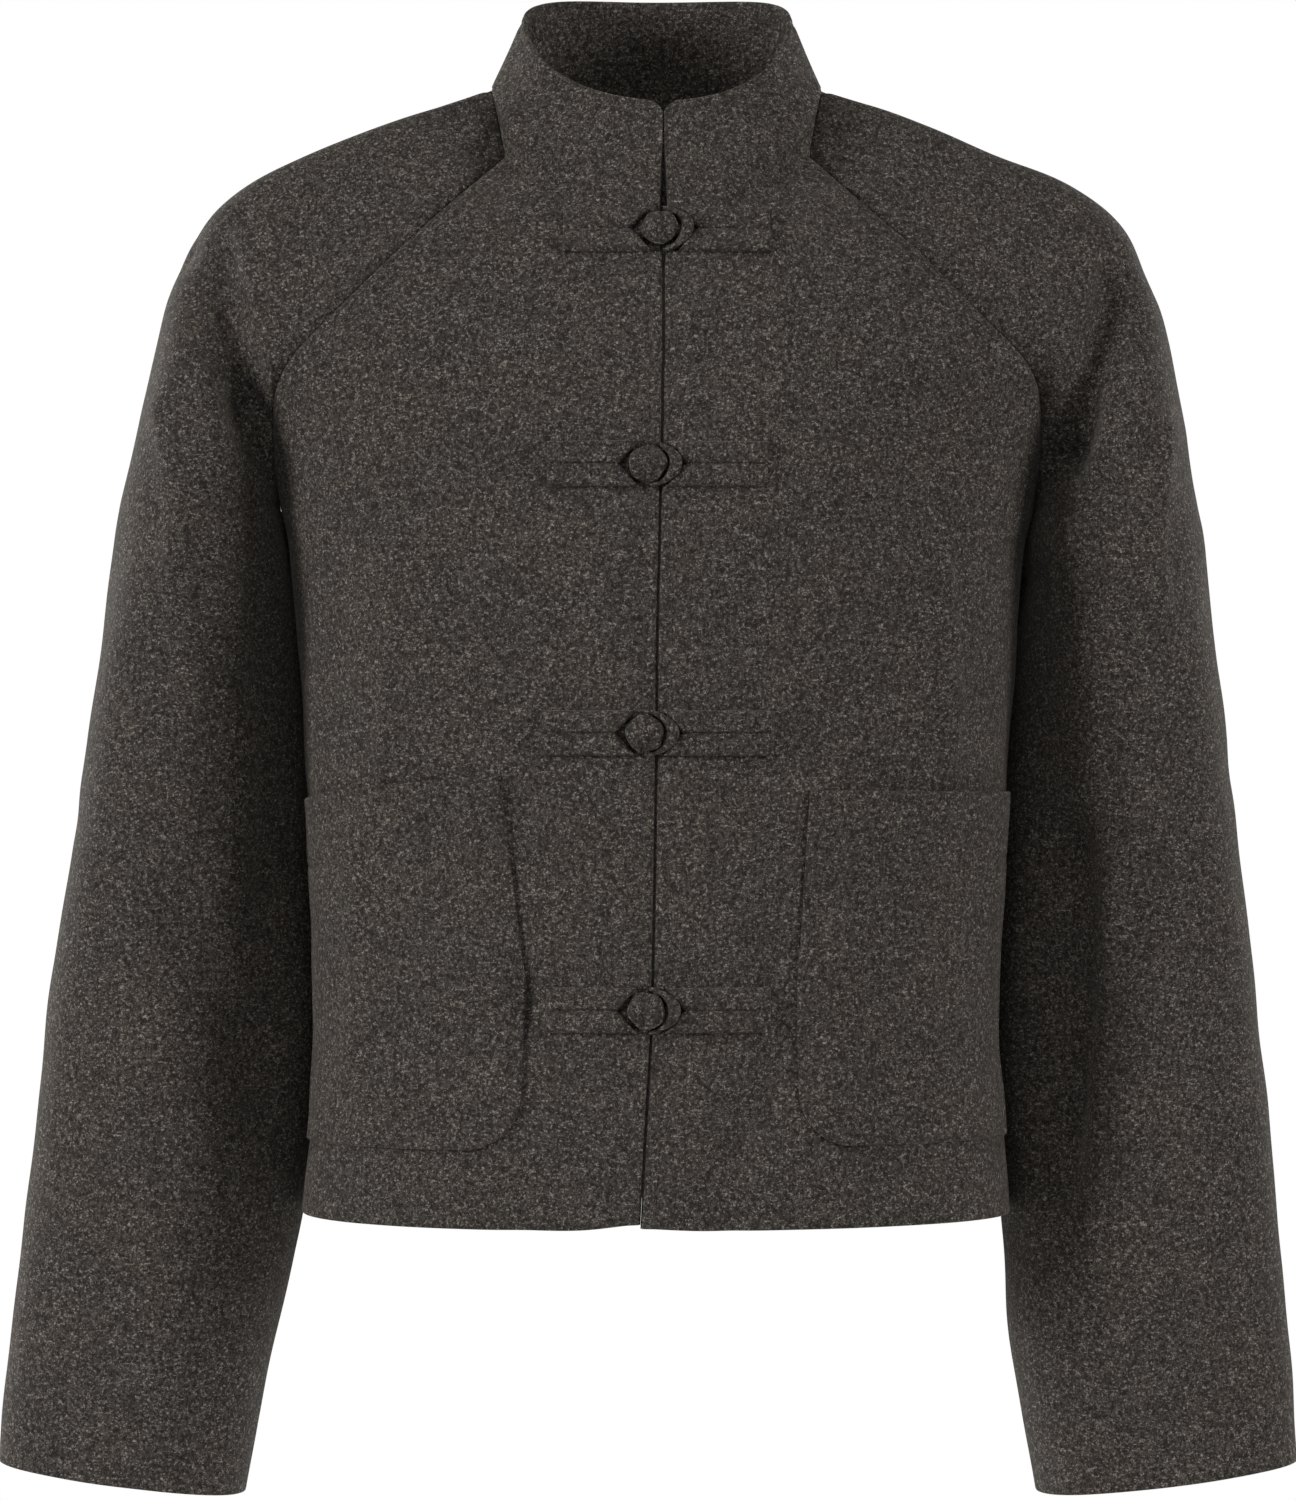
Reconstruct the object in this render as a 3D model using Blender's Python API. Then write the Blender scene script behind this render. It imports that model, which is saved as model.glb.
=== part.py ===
"""Cropped wool jacket: raglan sleeves, grown-on stand collar, two patch pockets and four frog fastenings.

The jacket is filled out as if worn, with nothing inside. Each cut piece is a thin curved wall: a grid is
laid over a surface of rows, and each row is one Bezier curve whose ends and handles stand in a table.
Tables are in millimetres, and meshes are in metres. +X is the viewer's right, the front faces -Y, and the
origin is at the middle of the neck, at the height where the shoulders meet the collar.
"""

import math
from collections import namedtuple

import bmesh
import bpy
import numpy as np
from mathutils import Vector, kdtree

MM = 0.001
WALL = 2.4
SEAM_GAP = 0.3
SEAM_REACH = 0.6
CREASE_LIMIT = 0.3
SHARPEST_CREASE = 0.25
DOWN = (0.0, 0.0, -1.0)
LAY_GAP = 0.5
CHARCOAL = (0.052, 0.046, 0.040, 1.0)
WOOL_ROUGHNESS = 0.95

# Half of the body, one row per section, from the hem up to the collar's rim. The centre is the front or
# back middle line, the edge is the side seam, then the raglan seam, then the neck and the collar's side.
# flat and bend are the lengths of the two handles, turn is the way the row runs at its edge, from
# sideways (0) to front-to-back (90), and dip lowers the edge's handle.
Row = namedtuple("Row", "name centre_y centre_z edge_x edge_y edge_z flat turn bend dip")
FRONT = [
    Row("hem", -118, -548.5, 173.5, 0.0, -547, 107, 90, 73, 0),
    Row("hip", -119, -492, 168.0, 0.0, -492, 104, 90, 74, 0),
    Row("waist", -119, -443, 165.5, 0.0, -443, 103, 90, 74, 0),
    Row("pocket", -121, -345, 171.0, 0.0, -345, 106, 90, 75, 0),
    Row("rib", -124, -267, 176.0, 0.0, -267, 109, 90, 77, 0),
    Row("chest", -123, -225, 179.5, 0.0, -225, 111, 90, 76, 0),
    Row("underarm", -121, -202, 184.5, 0.0, -203, 113, 88, 72, 0),
    Row("armpit", -119, -182, 186.0, -25.0, -182, 100, 74, 58, 0),
    Row("fold", -115, -160, 186.0, -42.0, -157, 94, 62, 50, 0),
    Row("bust", -112, -147, 183.0, -54.0, -143, 88, 53, 46, 0),
    Row("breast", -108, -134, 175.0, -63.0, -130, 82, 45, 44, 0),
    Row("yoke", -102, -116, 156.5, -69.0, -111, 74, 38, 42, 1),
    Row("clavicle", -93, -95, 129.0, -66.0, -83, 69, 37, 34, 4),
    Row("shoulder", -85, -78, 100.0, -52.0, -56, 55, 45, 33, 8),
    Row("notch", -77, -62, 74.5, -28.0, -32, 43, 62, 30, 13),
    Row("root", -72, -49, 81.5, -4.0, 4, 45, 84, 41, 26),
    Row("stand", -66, -29, 73.5, 1.0, 20, 41, 90, 38, 27),
    Row("rim", -61, -8, 65.0, 4.0, 39, 37, 90, 36, 28),
]
BACK = [
    Row("hem", 110, -548, 173.5, 0.0, -547, 107, 90, 68, 0),
    Row("hip", 111, -492, 168.0, 0.0, -492, 104, 90, 69, 0),
    Row("waist", 110, -443, 165.5, 0.0, -443, 103, 90, 69, 0),
    Row("pocket", 113, -345, 171.0, 0.0, -345, 106, 90, 70, 0),
    Row("rib", 117, -267, 176.0, 0.0, -267, 109, 90, 72, 0),
    Row("chest", 118, -225, 179.5, 0.0, -225, 111, 90, 73, 0),
    Row("underarm", 119, -202, 184.5, 0.0, -203, 113, 88, 71, 0),
    Row("armpit", 119, -182, 186.0, 29.0, -182, 99, 73, 56, 0),
    Row("fold", 119, -160, 186.0, 50.0, -157, 91, 61, 48, 0),
    Row("bust", 118, -145, 182.0, 61.0, -140, 86, 52, 44, 0),
    Row("breast", 117, -130, 173.0, 69.0, -123, 81, 45, 42, 0),
    Row("yoke", 114, -107, 154.0, 75.0, -100, 73, 38, 41, 0),
    Row("clavicle", 105, -78, 127.0, 74.0, -69, 69, 37, 34, 0),
    Row("shoulder", 92, -50, 99.0, 62.0, -41, 55, 45, 33, 0),
    Row("notch", 77, -24, 76.0, 36.0, -16, 43, 62, 30, 0),
    Row("root", 70, -4, 81.5, -4.0, 4, 45, 84, 41, 0),
    Row("stand", 61, 24, 73.5, 1.0, 20, 41, 90, 38, -4),
    Row("rim", 53, 51.5, 65.0, 4.0, 39, 37, 90, 30, -14),
]
UNDERARM, NOTCH, ROOT, RIM = 6, 14, 15, 17
EDGE_CORNERS = (UNDERARM, NOTCH, ROOT)

# The front middle line: how far it leans sideways, and half of the space between the two front edges.
CENTRE_LEAN = [-8, -5, -2.5, -0.7, 0, 1, 1.5, 2, 2.5, 2.5, 3, 3, 3, 3, 3, 3, 3, 3]
CENTRE_SPACE = [0.2, 0.2, 0.2, 0.2, 0.2, 0.2, 0.2, 0.2, 0.2, 0.2, 0.2, 0.2, 0.2, 0.3, 0.8, 1.6, 2.4, 3.2]

# A sleeve, one row per station from the neck to the cuff. The first nine stations start on the raglan
# seam, and the rest on the underarm seam, at inner_left or inner_right, inner_y and inner_z. Each row runs
# round the arm to the overarm seam, at over_left or over_right, over_y and over_z. start_x, start_y and
# start_z are its first handle and crown its last one, forwards; back_y and back_crown are those behind.
Station = namedtuple(
    "Station",
    "name inner_left inner_right inner_y inner_z start_x start_y start_z back_y"
    " over_left over_right over_y over_z crown back_crown",
)
ON_RAGLAN = (0, 0, 0, 0)
SLEEVE = [
    Station("neck", *ON_RAGLAN, 0, 0, 0, 0, 81.5, 81.5, -4, 4, 0, 0),
    Station("collar side", *ON_RAGLAN, 7, 17, 17, -17, 123, 121, -2, -11, 18, 18),
    Station("shoulder", *ON_RAGLAN, 13, 24, 24, -24, 174, 171, 0, -31, 26, 26),
    Station("yoke", *ON_RAGLAN, 16, 20, 30, -20, 203, 205, 2, -46, 34, 34),
    Station("shoulder end", *ON_RAGLAN, 22, 9, 27, -9, 223.5, 228.5, 3, -66, 48, 48),
    Station("sleeve head", *ON_RAGLAN, 27, -12, 17, 12, 236.5, 242, 4, -91, 61, 61),
    Station("fold", *ON_RAGLAN, 27, -40, 8, 40, 245, 250, 5, -121, 74, 76),
    Station("armpit", *ON_RAGLAN, 18, -66, 3, 70, 252, 256.5, 6, -152, 86, 88),
    Station("underarm", *ON_RAGLAN, 9, -88, 0, 92, 261, 263.5, 8, -194, 94, 98),
    Station("under fold", 184.5, 184.5, 6, -207, 5, -94, 0, 94, 263, 265, 8, -204, 97, 100),
    Station("upper arm", 181, 181, 15, -224, 0, -103, 0, 92, 266, 268, 9, -221, 103, 98),
    Station("biceps", 175.5, 175.5, 30, -267, 0, -108, 0, 79, 272, 273, 11, -262, 110, 94),
    Station("above elbow", 168, 168, 38, -345, 0, -92, 0, 70, 283, 282.5, 14, -338, 108, 90),
    Station("elbow", 163, 163, 40, -443, 0, -74, 0, 56, 298, 294.5, 18, -437, 98, 75),
    Station("below elbow", 166, 165.5, 40, -492, 0, -72, 0, 52, 304, 300, 20, -485, 92, 70),
    Station("hem level", 174.5, 170.5, 38, -546, 0, -78, 0, 50, 310, 305, 21, -537, 86, 66),
    Station("lower arm", 186.5, 173.5, 34, -600, 0, -81, 0, 47, 316, 309.5, 22, -588, 78, 62),
    Station("wrist", 195.5, 180, 30, -648, 0, -80, 0, 46, 321.5, 313.5, 22, -635, 71, 58),
    Station("cuff", 203.5, 187, 28, -687, 0, -75, 0, 44, 324.5, 316, 22, -671, 66, 55),
]

# Where the grids have their lines: fractional rows up the body, stations down the sleeve, and steps across.
BODY_LINES = [0, 0.5, 1, 1.5, 2, 2.5, 3, 3.5, 4, 4.5, 5, 5.6, 6, 6.5, 7, 8, 9, 10, 11, 12, 12.5, 13, 13.5]
BODY_LINES += [NOTCH, 14.3, 14.7, ROOT, 16, RIM]
SLEEVE_LINES = [0, 0.5, 1, 1.5, 2, 3, 4, 5, 6, 7, 7.5, 8, 9, 10, 11, 11.5, 12, 12.5, 13, 14, 15, 16, 17, 18]
FRONT_STEPS = 12
BACK_STEPS = 22
SLEEVE_STEPS = 10

# Largest folds of the cloth, one row each: a soft ridge (height above 0) or trough (below 0) along a line
# from (x1, z1) to (x2, z2) in the front view, fading over its width and towards its ends.
Fold = namedtuple("Fold", "name x1 z1 x2 z2 width height")
FRONT_FOLDS = [
    Fold("left bust", -122, -245, -130, -330, 22, 3.0),
    Fold("right bust", 136, -240, 140, -335, 22, 3.0),
    Fold("left pocket", -146, -370, -146, -480, 18, 2.5),
    Fold("left hem", -58, -440, -62, -545, 18, -2.5),
    Fold("right hem", 56, -480, 47, -545, 16, -2.5),
]
SLEEVE_FOLDS = [
    Fold("left armpit", -222, -84, -190, -172, 13, -8.0),
    Fold("right armpit", 226, -94, 194, -178, 13, -8.0),
    Fold("left inner side", -187, -380, -192, -535, 16, -6.0),
    Fold("right inner side", 196, -375, 190, -530, 18, -7.0),
    Fold("left elbow", -235, -400, -196, -488, 18, -4.0),
    Fold("right elbow", 232, -380, 196, -500, 18, -4.0),
]

# Patch pocket: inner_x at its mouth, its middle and its foot, then the heights of its mouth and foot.
Pocket = namedtuple("Pocket", "name side mouth_x middle_x foot_x mouth_inner_z mouth_outer_z foot_z")
POCKETS = [
    Pocket("pocket_left", -1, 75, 63, 66, -333, -345, -511),
    Pocket("pocket_right", 1, 72, 66, 67, -340, -341, -509),
]
POCKET_OUTER_TURN = 0.93
POCKET_CORNER = 26
POCKET_WALL = 2.0
POCKET_LAY = 0.9
POCKET_GAPE = 2.6
POCKET_GAPE_DEPTH = 45
POCKET_STEPS = 9
POCKET_CLIMB = (0, 0.02, 0.06, 0.11, 0.17, 0.3, 0.5, 0.7, 0.85, 1)

# Frog fastenings: a row for each, with the height of its middle, the knot's place and the strips' outer ends.
Frog = namedtuple("Frog", "number z knot_x left_end right_end")
FROGS = [
    Frog(1, -72, 2.0, -46, 54),
    Frog(2, -184, -1.5, -51, 53),
    Frog(3, -313, -4.0, -56, 56),
    Frog(4, -444, -3.5, -54, 54),
]
FROG_HEIGHT = 22
FROG_THICK = 3.0
FROG_GROOVE = 1.2
FROG_GROOVE_PART = 0.09
FROG_EDGE = 1.2
FROG_STOPS = (0, 0.08, 0.16, 0.5, 0.85, 1)
FROG_NEAREST = 5
FROG_ROWS = 8
KNOT_RADIUS = 10.6
KNOT_THICK = 9.0
KNOT_CLEAR = 0.4
KNOT_SEAT = 0.5
KNOT_FLAT = -0.5
KNOT_SEGMENTS = 16
KNOT_RINGS = 8
LOOP_WIDTH = 5.0
LOOP_RISE = 2.0


def column(table, name):
    """One named column of a table."""
    return np.array([getattr(row, name) for row in table], float)


def along(values, place, corners=()):
    """Smooth value of a column at fractional rows, with a sharp turn allowed at the corner rows."""
    values = np.asarray(values, float)
    place = np.asarray(place, float)
    steps = np.diff(values)
    inner = (steps[:-1] + steps[1:]) / 2
    slope_in = np.concatenate([steps[:1], inner, steps[-1:]])
    slope_out = slope_in.copy()
    for row in corners:
        slope_in[row] = steps[row - 1]
        slope_out[row] = steps[row]
    low = np.clip(np.floor(place).astype(int), 0, len(values) - 2)
    part = place - low
    rise = part * part * (3 - 2 * part)
    leave = part * (1 - part) ** 2
    arrive = -part * part * (1 - part)
    return values[low] + rise * steps[low] + leave * slope_out[low] + arrive * slope_in[low + 1]


def stacked(*parts):
    """Arrays x, y and z as one array of points."""
    return np.stack(np.broadcast_arrays(*parts), axis=-1)


def bezier(start, first, second, end, part):
    """Points of cubic curves at a fraction of their way."""
    part = np.asarray(part)[..., None]
    rest = 1 - part
    return rest**3 * start + 3 * rest**2 * part * first + 3 * rest * part**2 * second + part**3 * end


def body_edge(table, side, row):
    """The side seam, raglan seam and collar side of the body."""
    edge_x, edge_y, edge_z = (along(column(table, "edge_" + axis), row, EDGE_CORNERS) for axis in "xyz")
    return stacked(side * edge_x, edge_y, edge_z)


def body_point(table, side, centre_x, across, row):
    """A point of the body: across is 0 at the middle line and 1 at the edge."""
    across, row = np.broadcast_arrays(np.asarray(across, float), np.asarray(row, float))
    way = np.sign(table[0].centre_y) * -1
    centre = stacked(centre_x, along(column(table, "centre_y"), row), along(column(table, "centre_z"), row))
    edge = body_edge(table, side, row)
    flat, bend, dip = (along(column(table, name), row) for name in ("flat", "bend", "dip"))
    turn = np.radians(along(column(table, "turn"), row))
    first = centre + stacked(side * flat, 0, 0)
    second = edge - stacked(side * bend * np.cos(turn), way * bend * np.sin(turn), dip)
    return bezier(centre, first, second, edge, across)


def front_point(side, across, row):
    """A point of one front."""
    row = np.asarray(row, float)
    centre_x = along(CENTRE_LEAN, row) + side * along(CENTRE_SPACE, row)
    return body_point(FRONT, side, centre_x, across, row)


def back_point(across, row):
    """A point of the back: across runs from -1 at the left seam to 1 at the right one."""
    across = np.asarray(across, float)
    side = np.where(across < 0, -1.0, 1.0)
    return body_point(BACK, side, 0.0, np.abs(across), row)


def columns(table, *names):
    """Named columns side by side, as points."""
    return np.stack([column(table, name) for name in names], axis=-1)


def sleeve_point(side, face, across, station):
    """A point of a sleeve half: face is -1 in front and 1 behind, across is 0 on the lower seam."""
    hand = "left" if side < 0 else "right"
    table = FRONT if face < 0 else BACK
    across, station = np.broadcast_arrays(np.asarray(across, float), np.asarray(station, float))
    on_raglan = body_edge(table, 1, np.arange(NOTCH, UNDERARM - 1, -1.0))
    on_arm = columns(SLEEVE, "inner_" + hand, "inner_y", "inner_z")[len(on_raglan) :]
    seams = np.concatenate([on_raglan, on_arm])
    overs = columns(SLEEVE, "over_" + hand, "over_y", "over_z")
    starts = columns(SLEEVE, "start_x", "start_y" if face < 0 else "back_y", "start_z")
    crowns = np.zeros(overs.shape)
    crowns[:, 1] = face * column(SLEEVE, "crown" if face < 0 else "back_crown")
    starts[0] = (overs[0] - seams[0]) / 3
    crowns[0] = -starts[0]
    corner = (NOTCH - UNDERARM,)
    seam = stacked(*(along(seams[:, axis], station, corner) for axis in range(3)))
    start, over, crown = (
        stacked(*(along(values[:, axis], station) for axis in range(3))) for values in (starts, overs, crowns)
    )
    return bezier(seam, seam + start, over + crown, over, across) * (side, 1, 1)


def fold_height(folds, points):
    """How far the folds lift the cloth at each point."""
    height = np.zeros(points.shape[:-1])
    for fold in folds:
        start = np.array([fold.x1, fold.z1], float)
        run = np.array([fold.x2, fold.z2], float) - start
        reach = points[..., [0, 2]] - start
        part = (reach @ run) / (run @ run)
        offset = np.linalg.norm(reach - np.clip(part, 0, 1)[..., None] * run, axis=-1)
        height += fold.height * np.exp(-((offset / fold.width) ** 2))
    return height


def unit(vectors):
    """Vectors made one long."""
    return vectors / np.maximum(np.linalg.norm(vectors, axis=-1, keepdims=True), 1e-9)


def surface_normals(surface, across, row, flip):
    """Outward normals of a surface, from small steps along it."""
    step = 0.01
    run = surface(np.clip(across + step, -1, 1), row) - surface(across - step, row)
    climb = surface(across, row + step) - surface(across, row - step)
    return unit(np.cross(run, climb)) * flip


def front_surface(side, across, row):
    """A front with its folds, and its outward normals."""
    points = front_point(side, across, row)
    normals = surface_normals(lambda a, r: front_point(side, a, r), across, row, side)
    return points + normals * fold_height(FRONT_FOLDS, points)[..., None], normals


def front_spot(side, x, z):
    """Points and normals of a front under the given places in the front view."""
    x, z = np.broadcast_arrays(np.asarray(x, float), np.asarray(z, float))
    across = np.full(x.shape, 0.3)
    row = np.full(x.shape, 4.0)
    for _ in range(5):
        row = solved(lambda r: front_point(side, across, r)[..., 2], z, 0, RIM)
        across = solved(lambda a: side * front_point(side, a, row)[..., 0], side * x, 0, 1)
    return front_surface(side, across, row)


def solved(rising, wanted, low, high):
    """Where a rising function reaches the wanted values, by halving."""
    low = np.full(wanted.shape, float(low))
    high = np.full(wanted.shape, float(high))
    for _ in range(30):
        middle = (low + high) / 2
        under = rising(middle) < wanted
        low = np.where(under, middle, low)
        high = np.where(under, high, middle)
    return (low + high) / 2


# Cut pieces as grids of outer points and normals, and how far their borders are drawn in at the seams.
Cloth = namedtuple("Cloth", "name points normals draw")


def cloth(name, points, normals):
    """A cut piece whose seams aren't settled yet."""
    return Cloth(name, points, normals, np.ones(points.shape[:2]))


def body_pieces():
    """Both fronts and the back."""
    rows = np.array(BODY_LINES, float)[:, None]
    pieces = []
    for name, side in (("front_left", -1), ("front_right", 1)):
        across = np.linspace(0, 1, FRONT_STEPS + 1)[None, :]
        pieces.append(cloth(name, *front_surface(side, across, rows)))
    across = np.linspace(-1, 1, BACK_STEPS + 1)[None, :]
    points = back_point(across, rows)
    pieces.append(cloth("back", points, surface_normals(back_point, across, rows, -1)))
    return pieces


def sleeve_pieces():
    """The front and back half of both sleeves."""
    stations = np.array(SLEEVE_LINES, float)[:, None]
    across = np.linspace(0, 1, SLEEVE_STEPS + 1)[None, :]
    pieces = []
    for half, face in (("front", -1), ("back", 1)):
        for name, side in (("left", -1), ("right", 1)):
            points = sleeve_point(side, face, across, stations)
            normals = surface_normals(
                lambda a, s, side=side, face=face: sleeve_point(side, face, a, s), across, stations, side * face
            )
            if face < 0:
                points = points + normals * fold_height(SLEEVE_FOLDS, points)[..., None]
            pieces.append(cloth(f"sleeve_{half}_{name}", points, normals))
    return pieces


def on_border(shape):
    """True along the four sides of a grid."""
    border = np.zeros(shape, bool)
    border[[0, -1], :] = True
    border[:, [0, -1]] = True
    return border


def share_seam_normals(pieces):
    """At a seam, the pieces that meet take one shared normal, so that their walls stand side by side."""
    spots = [
        (point, normal)
        for piece in pieces
        for point, normal in zip(
            piece.points[on_border(piece.points.shape[:2])], piece.normals[on_border(piece.points.shape[:2])]
        )
    ]
    tree = kdtree.KDTree(len(spots))
    for number, (point, _) in enumerate(spots):
        tree.insert(point, number)
    tree.balance()
    for piece in pieces:
        own = piece.normals.copy()
        for place in np.argwhere(on_border(piece.points.shape[:2])):
            near = tree.find_range(piece.points[tuple(place)], SEAM_REACH)
            total = np.sum([spots[number][1] for _, number, _ in near], axis=0)
            crease = np.linalg.norm(total) < CREASE_LIMIT * len(near)
            piece.normals[tuple(place)] = DOWN if crease else unit(total)
        if piece.name.startswith("sleeve"):
            part = np.linspace(0, 1, SLEEVE_STEPS + 1)[:, None]
            piece.normals[0] = (1 - part) * piece.normals[0, 0] + part * piece.normals[0, -1]
        else:
            notch, root = BODY_LINES.index(NOTCH), BODY_LINES.index(ROOT)
            part = np.array(BODY_LINES[notch : root + 1])[:, None] - NOTCH
            for edge in (0, -1):
                ends = piece.normals[[notch, root], edge]
                piece.normals[notch : root + 1, edge] = (1 - part) * ends[0] + part * ends[1]
        piece.draw[:] = 1 / np.clip((own * piece.normals).sum(axis=-1), SHARPEST_CREASE, 1)


def drawn_in(piece):
    """A piece's grid, with its border drawn in by half of the seam gap, or more in a sharp crease."""
    points = piece.points
    result = points.copy()
    half = SEAM_GAP / 2 * piece.draw[..., None]
    result[0] += half[0] * unit(points[1] - points[0])
    result[-1] += half[-1] * unit(points[-2] - points[-1])
    result[:, 0] += half[:, 0] * unit(points[:, 1] - points[:, 0])
    result[:, -1] += half[:, -1] * unit(points[:, -2] - points[:, -1])
    return result


def finished(name, mesh, collection):
    """A mesh as a named object with its own wool material."""
    material = bpy.data.materials.new(name + "_wool")
    material.use_nodes = True
    shader = material.node_tree.nodes["Principled BSDF"]
    shader.inputs["Base Color"].default_value = CHARCOAL
    shader.inputs["Roughness"].default_value = WOOL_ROUGHNESS
    shader.inputs["Metallic"].default_value = 0.0
    mesh.materials.append(material)
    mesh.shade_smooth()
    mesh.set_sharp_from_angle(angle=math.radians(50))
    thing = bpy.data.objects.new(name, mesh)
    collection.objects.link(thing)
    return thing


def wall(name, outer, inner, collection):
    """A closed thin wall between two grids of points."""
    rows, steps = outer.shape[:2]
    shape = bmesh.new()
    bmesh.ops.create_grid(shape, x_segments=steps - 1, y_segments=rows - 1, size=0.5)
    made = bmesh.ops.extrude_face_region(shape, geom=shape.faces[:], use_keep_orig=True)
    lifted = {item for item in made["geom"] if isinstance(item, bmesh.types.BMVert)}
    for vertex in shape.verts:
        row = round((vertex.co.y + 0.5) * (rows - 1))
        step = round((vertex.co.x + 0.5) * (steps - 1))
        grid = outer if vertex in lifted else inner
        vertex.co = grid[row, step] * MM
    bmesh.ops.recalc_face_normals(shape, faces=shape.faces[:])
    mesh = bpy.data.meshes.new(name)
    shape.to_mesh(mesh)
    shape.free()
    return finished(name, mesh, collection)


def make_cloth(collection):
    """The body and the sleeves."""
    pieces = body_pieces() + sleeve_pieces()
    share_seam_normals(pieces)
    for piece in pieces:
        outer = drawn_in(piece)
        wall(piece.name, outer, outer - WALL * piece.normals, collection)


def make_pocket(pocket, collection):
    """A patch pocket on its front, rounded at the foot and a little open at its mouth."""
    part = np.linspace(0, 1, POCKET_STEPS + 1)[None, :]
    climb = np.array(POCKET_CLIMB)[:, None]
    mouth_z = pocket.mouth_inner_z + (pocket.mouth_outer_z - pocket.mouth_inner_z) * part
    z = pocket.foot_z + (mouth_z - pocket.foot_z) * climb
    row = solved(lambda r: along(column(FRONT, "centre_z"), r), z, 0, UNDERARM)
    left = POCKET_CORNER - np.clip(z[:, :1] - pocket.foot_z, 0, POCKET_CORNER)
    rounding = POCKET_CORNER - np.sqrt(POCKET_CORNER**2 - left**2)
    inner_x = np.interp(climb, (0, 0.45, 1), (pocket.foot_x, pocket.middle_x, pocket.mouth_x)) + rounding
    inner_x = np.broadcast_to(inner_x, z.shape)
    inner = solved(lambda a: pocket.side * front_point(pocket.side, a, row)[..., 0], inner_x, 0, 1)
    across = inner + (POCKET_OUTER_TURN - inner) * part
    points, normals = front_surface(pocket.side, across, row)
    open_part = np.clip(1 - (mouth_z - z) / POCKET_GAPE_DEPTH, 0, 1) ** 2
    lift = POCKET_LAY + POCKET_GAPE * np.sin(math.pi * part) * open_part
    under = points + normals * lift[..., None]
    wall(pocket.name, under + normals * POCKET_WALL, under, collection)


def make_strip(name, frog, side, collection):
    """A frog's folded strip, hollowed at its inner end for the knot, with a groove along its middle."""
    climb = np.linspace(-0.5, 0.5, FROG_ROWS + 1)[:, None]
    part = np.array(FROG_STOPS)[None, :]
    rise = climb * FROG_HEIGHT
    clear = KNOT_RADIUS + KNOT_CLEAR
    hollow = np.sqrt(np.maximum(clear**2 - rise**2, FROG_NEAREST**2))
    end = frog.left_end if side < 0 else frog.right_end
    start_x = frog.knot_x + side * hollow
    x = start_x + (end - start_x) * part
    points, normals = front_spot(side, x, frog.z + rise + 0 * part)
    groove = FROG_GROOVE * np.exp(-((climb / FROG_GROOVE_PART) ** 2))
    rounding = FROG_EDGE * (2 * np.abs(climb)) ** 6
    thick = FROG_THICK - groove - rounding + 0 * part
    if side > 0:
        thick = thick + LOOP_RISE * np.clip(1 - np.abs(x - start_x) / LOOP_WIDTH, 0, 1)
    under = points + normals * LAY_GAP
    wall(name, under + normals * thick[..., None], under, collection)


def make_knot(frog, collection):
    """A flattened ball of knotted strip over the front middle line."""
    spots, normals = front_spot(1, np.array([frog.knot_x + KNOT_RADIUS / 2]), np.array([frog.z]))
    shape = bmesh.new()
    bmesh.ops.create_uvsphere(shape, u_segments=KNOT_SEGMENTS, v_segments=KNOT_RINGS, radius=1.0)
    for vertex in shape.verts:
        height = max(vertex.co.z, KNOT_FLAT)
        vertex.co.z = (height - KNOT_FLAT) / (1 - KNOT_FLAT) * KNOT_THICK * MM
        vertex.co.x *= KNOT_RADIUS * MM
        vertex.co.y *= KNOT_RADIUS * MM
    bmesh.ops.recalc_face_normals(shape, faces=shape.faces[:])
    mesh = bpy.data.meshes.new(f"frog_knot_{frog.number}")
    shape.to_mesh(mesh)
    shape.free()
    knot = finished(mesh.name, mesh, collection)
    normal = Vector((0.0, normals[0, 1], normals[0, 2])).normalized()
    knot.rotation_euler = normal.to_track_quat("Z", "X").to_euler()
    knot.location = Vector((frog.knot_x, spots[0, 1], spots[0, 2])) * MM + normal * KNOT_SEAT * MM


def main():
    for thing in list(bpy.data.objects):
        bpy.data.objects.remove(thing)
    collection = bpy.data.collections.new("cropped_jacket")
    bpy.context.scene.collection.children.link(collection)
    make_cloth(collection)
    for pocket in POCKETS:
        make_pocket(pocket, collection)
    for frog in FROGS:
        make_strip(f"frog_tab_{frog.number}", frog, -1, collection)
        make_strip(f"frog_loop_{frog.number}", frog, 1, collection)
        make_knot(frog, collection)


main()
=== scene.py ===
"""Looks of a cropped wool jacket with raglan sleeves, a stand collar, patch pockets and four frogs.

The file is laid out as an add-on and run as a script. Every cut piece is laid out again on the same rows
as its solid, in finer cells, with rounded edges, seam valleys, creases, sewing and a brushed melange wool.
Tables are in millimetres and meshes in metres. +X is the viewer's right, the front faces -Y, and the
origin is at the neck.
"""

import math
from collections import namedtuple
from functools import partial

import bmesh
import bpy
import numpy as np
from mathutils import Matrix, Vector, kdtree


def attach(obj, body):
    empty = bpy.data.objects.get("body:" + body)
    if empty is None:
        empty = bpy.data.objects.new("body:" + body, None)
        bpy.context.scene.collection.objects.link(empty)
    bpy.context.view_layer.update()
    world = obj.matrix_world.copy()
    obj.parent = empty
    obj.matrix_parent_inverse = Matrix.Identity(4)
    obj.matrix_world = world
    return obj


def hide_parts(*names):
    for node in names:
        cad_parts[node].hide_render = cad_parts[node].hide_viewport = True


bl_info = {
    "name": "Cropped wool jacket",
    "version": (1, 0, 0),
    "blender": (4, 5, 0),
    "location": "View3D > Sidebar > Jacket",
    "description": "Cloth, sewing and stage of a cropped wool jacket with frog fastenings",
    "category": "Object",
}

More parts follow.
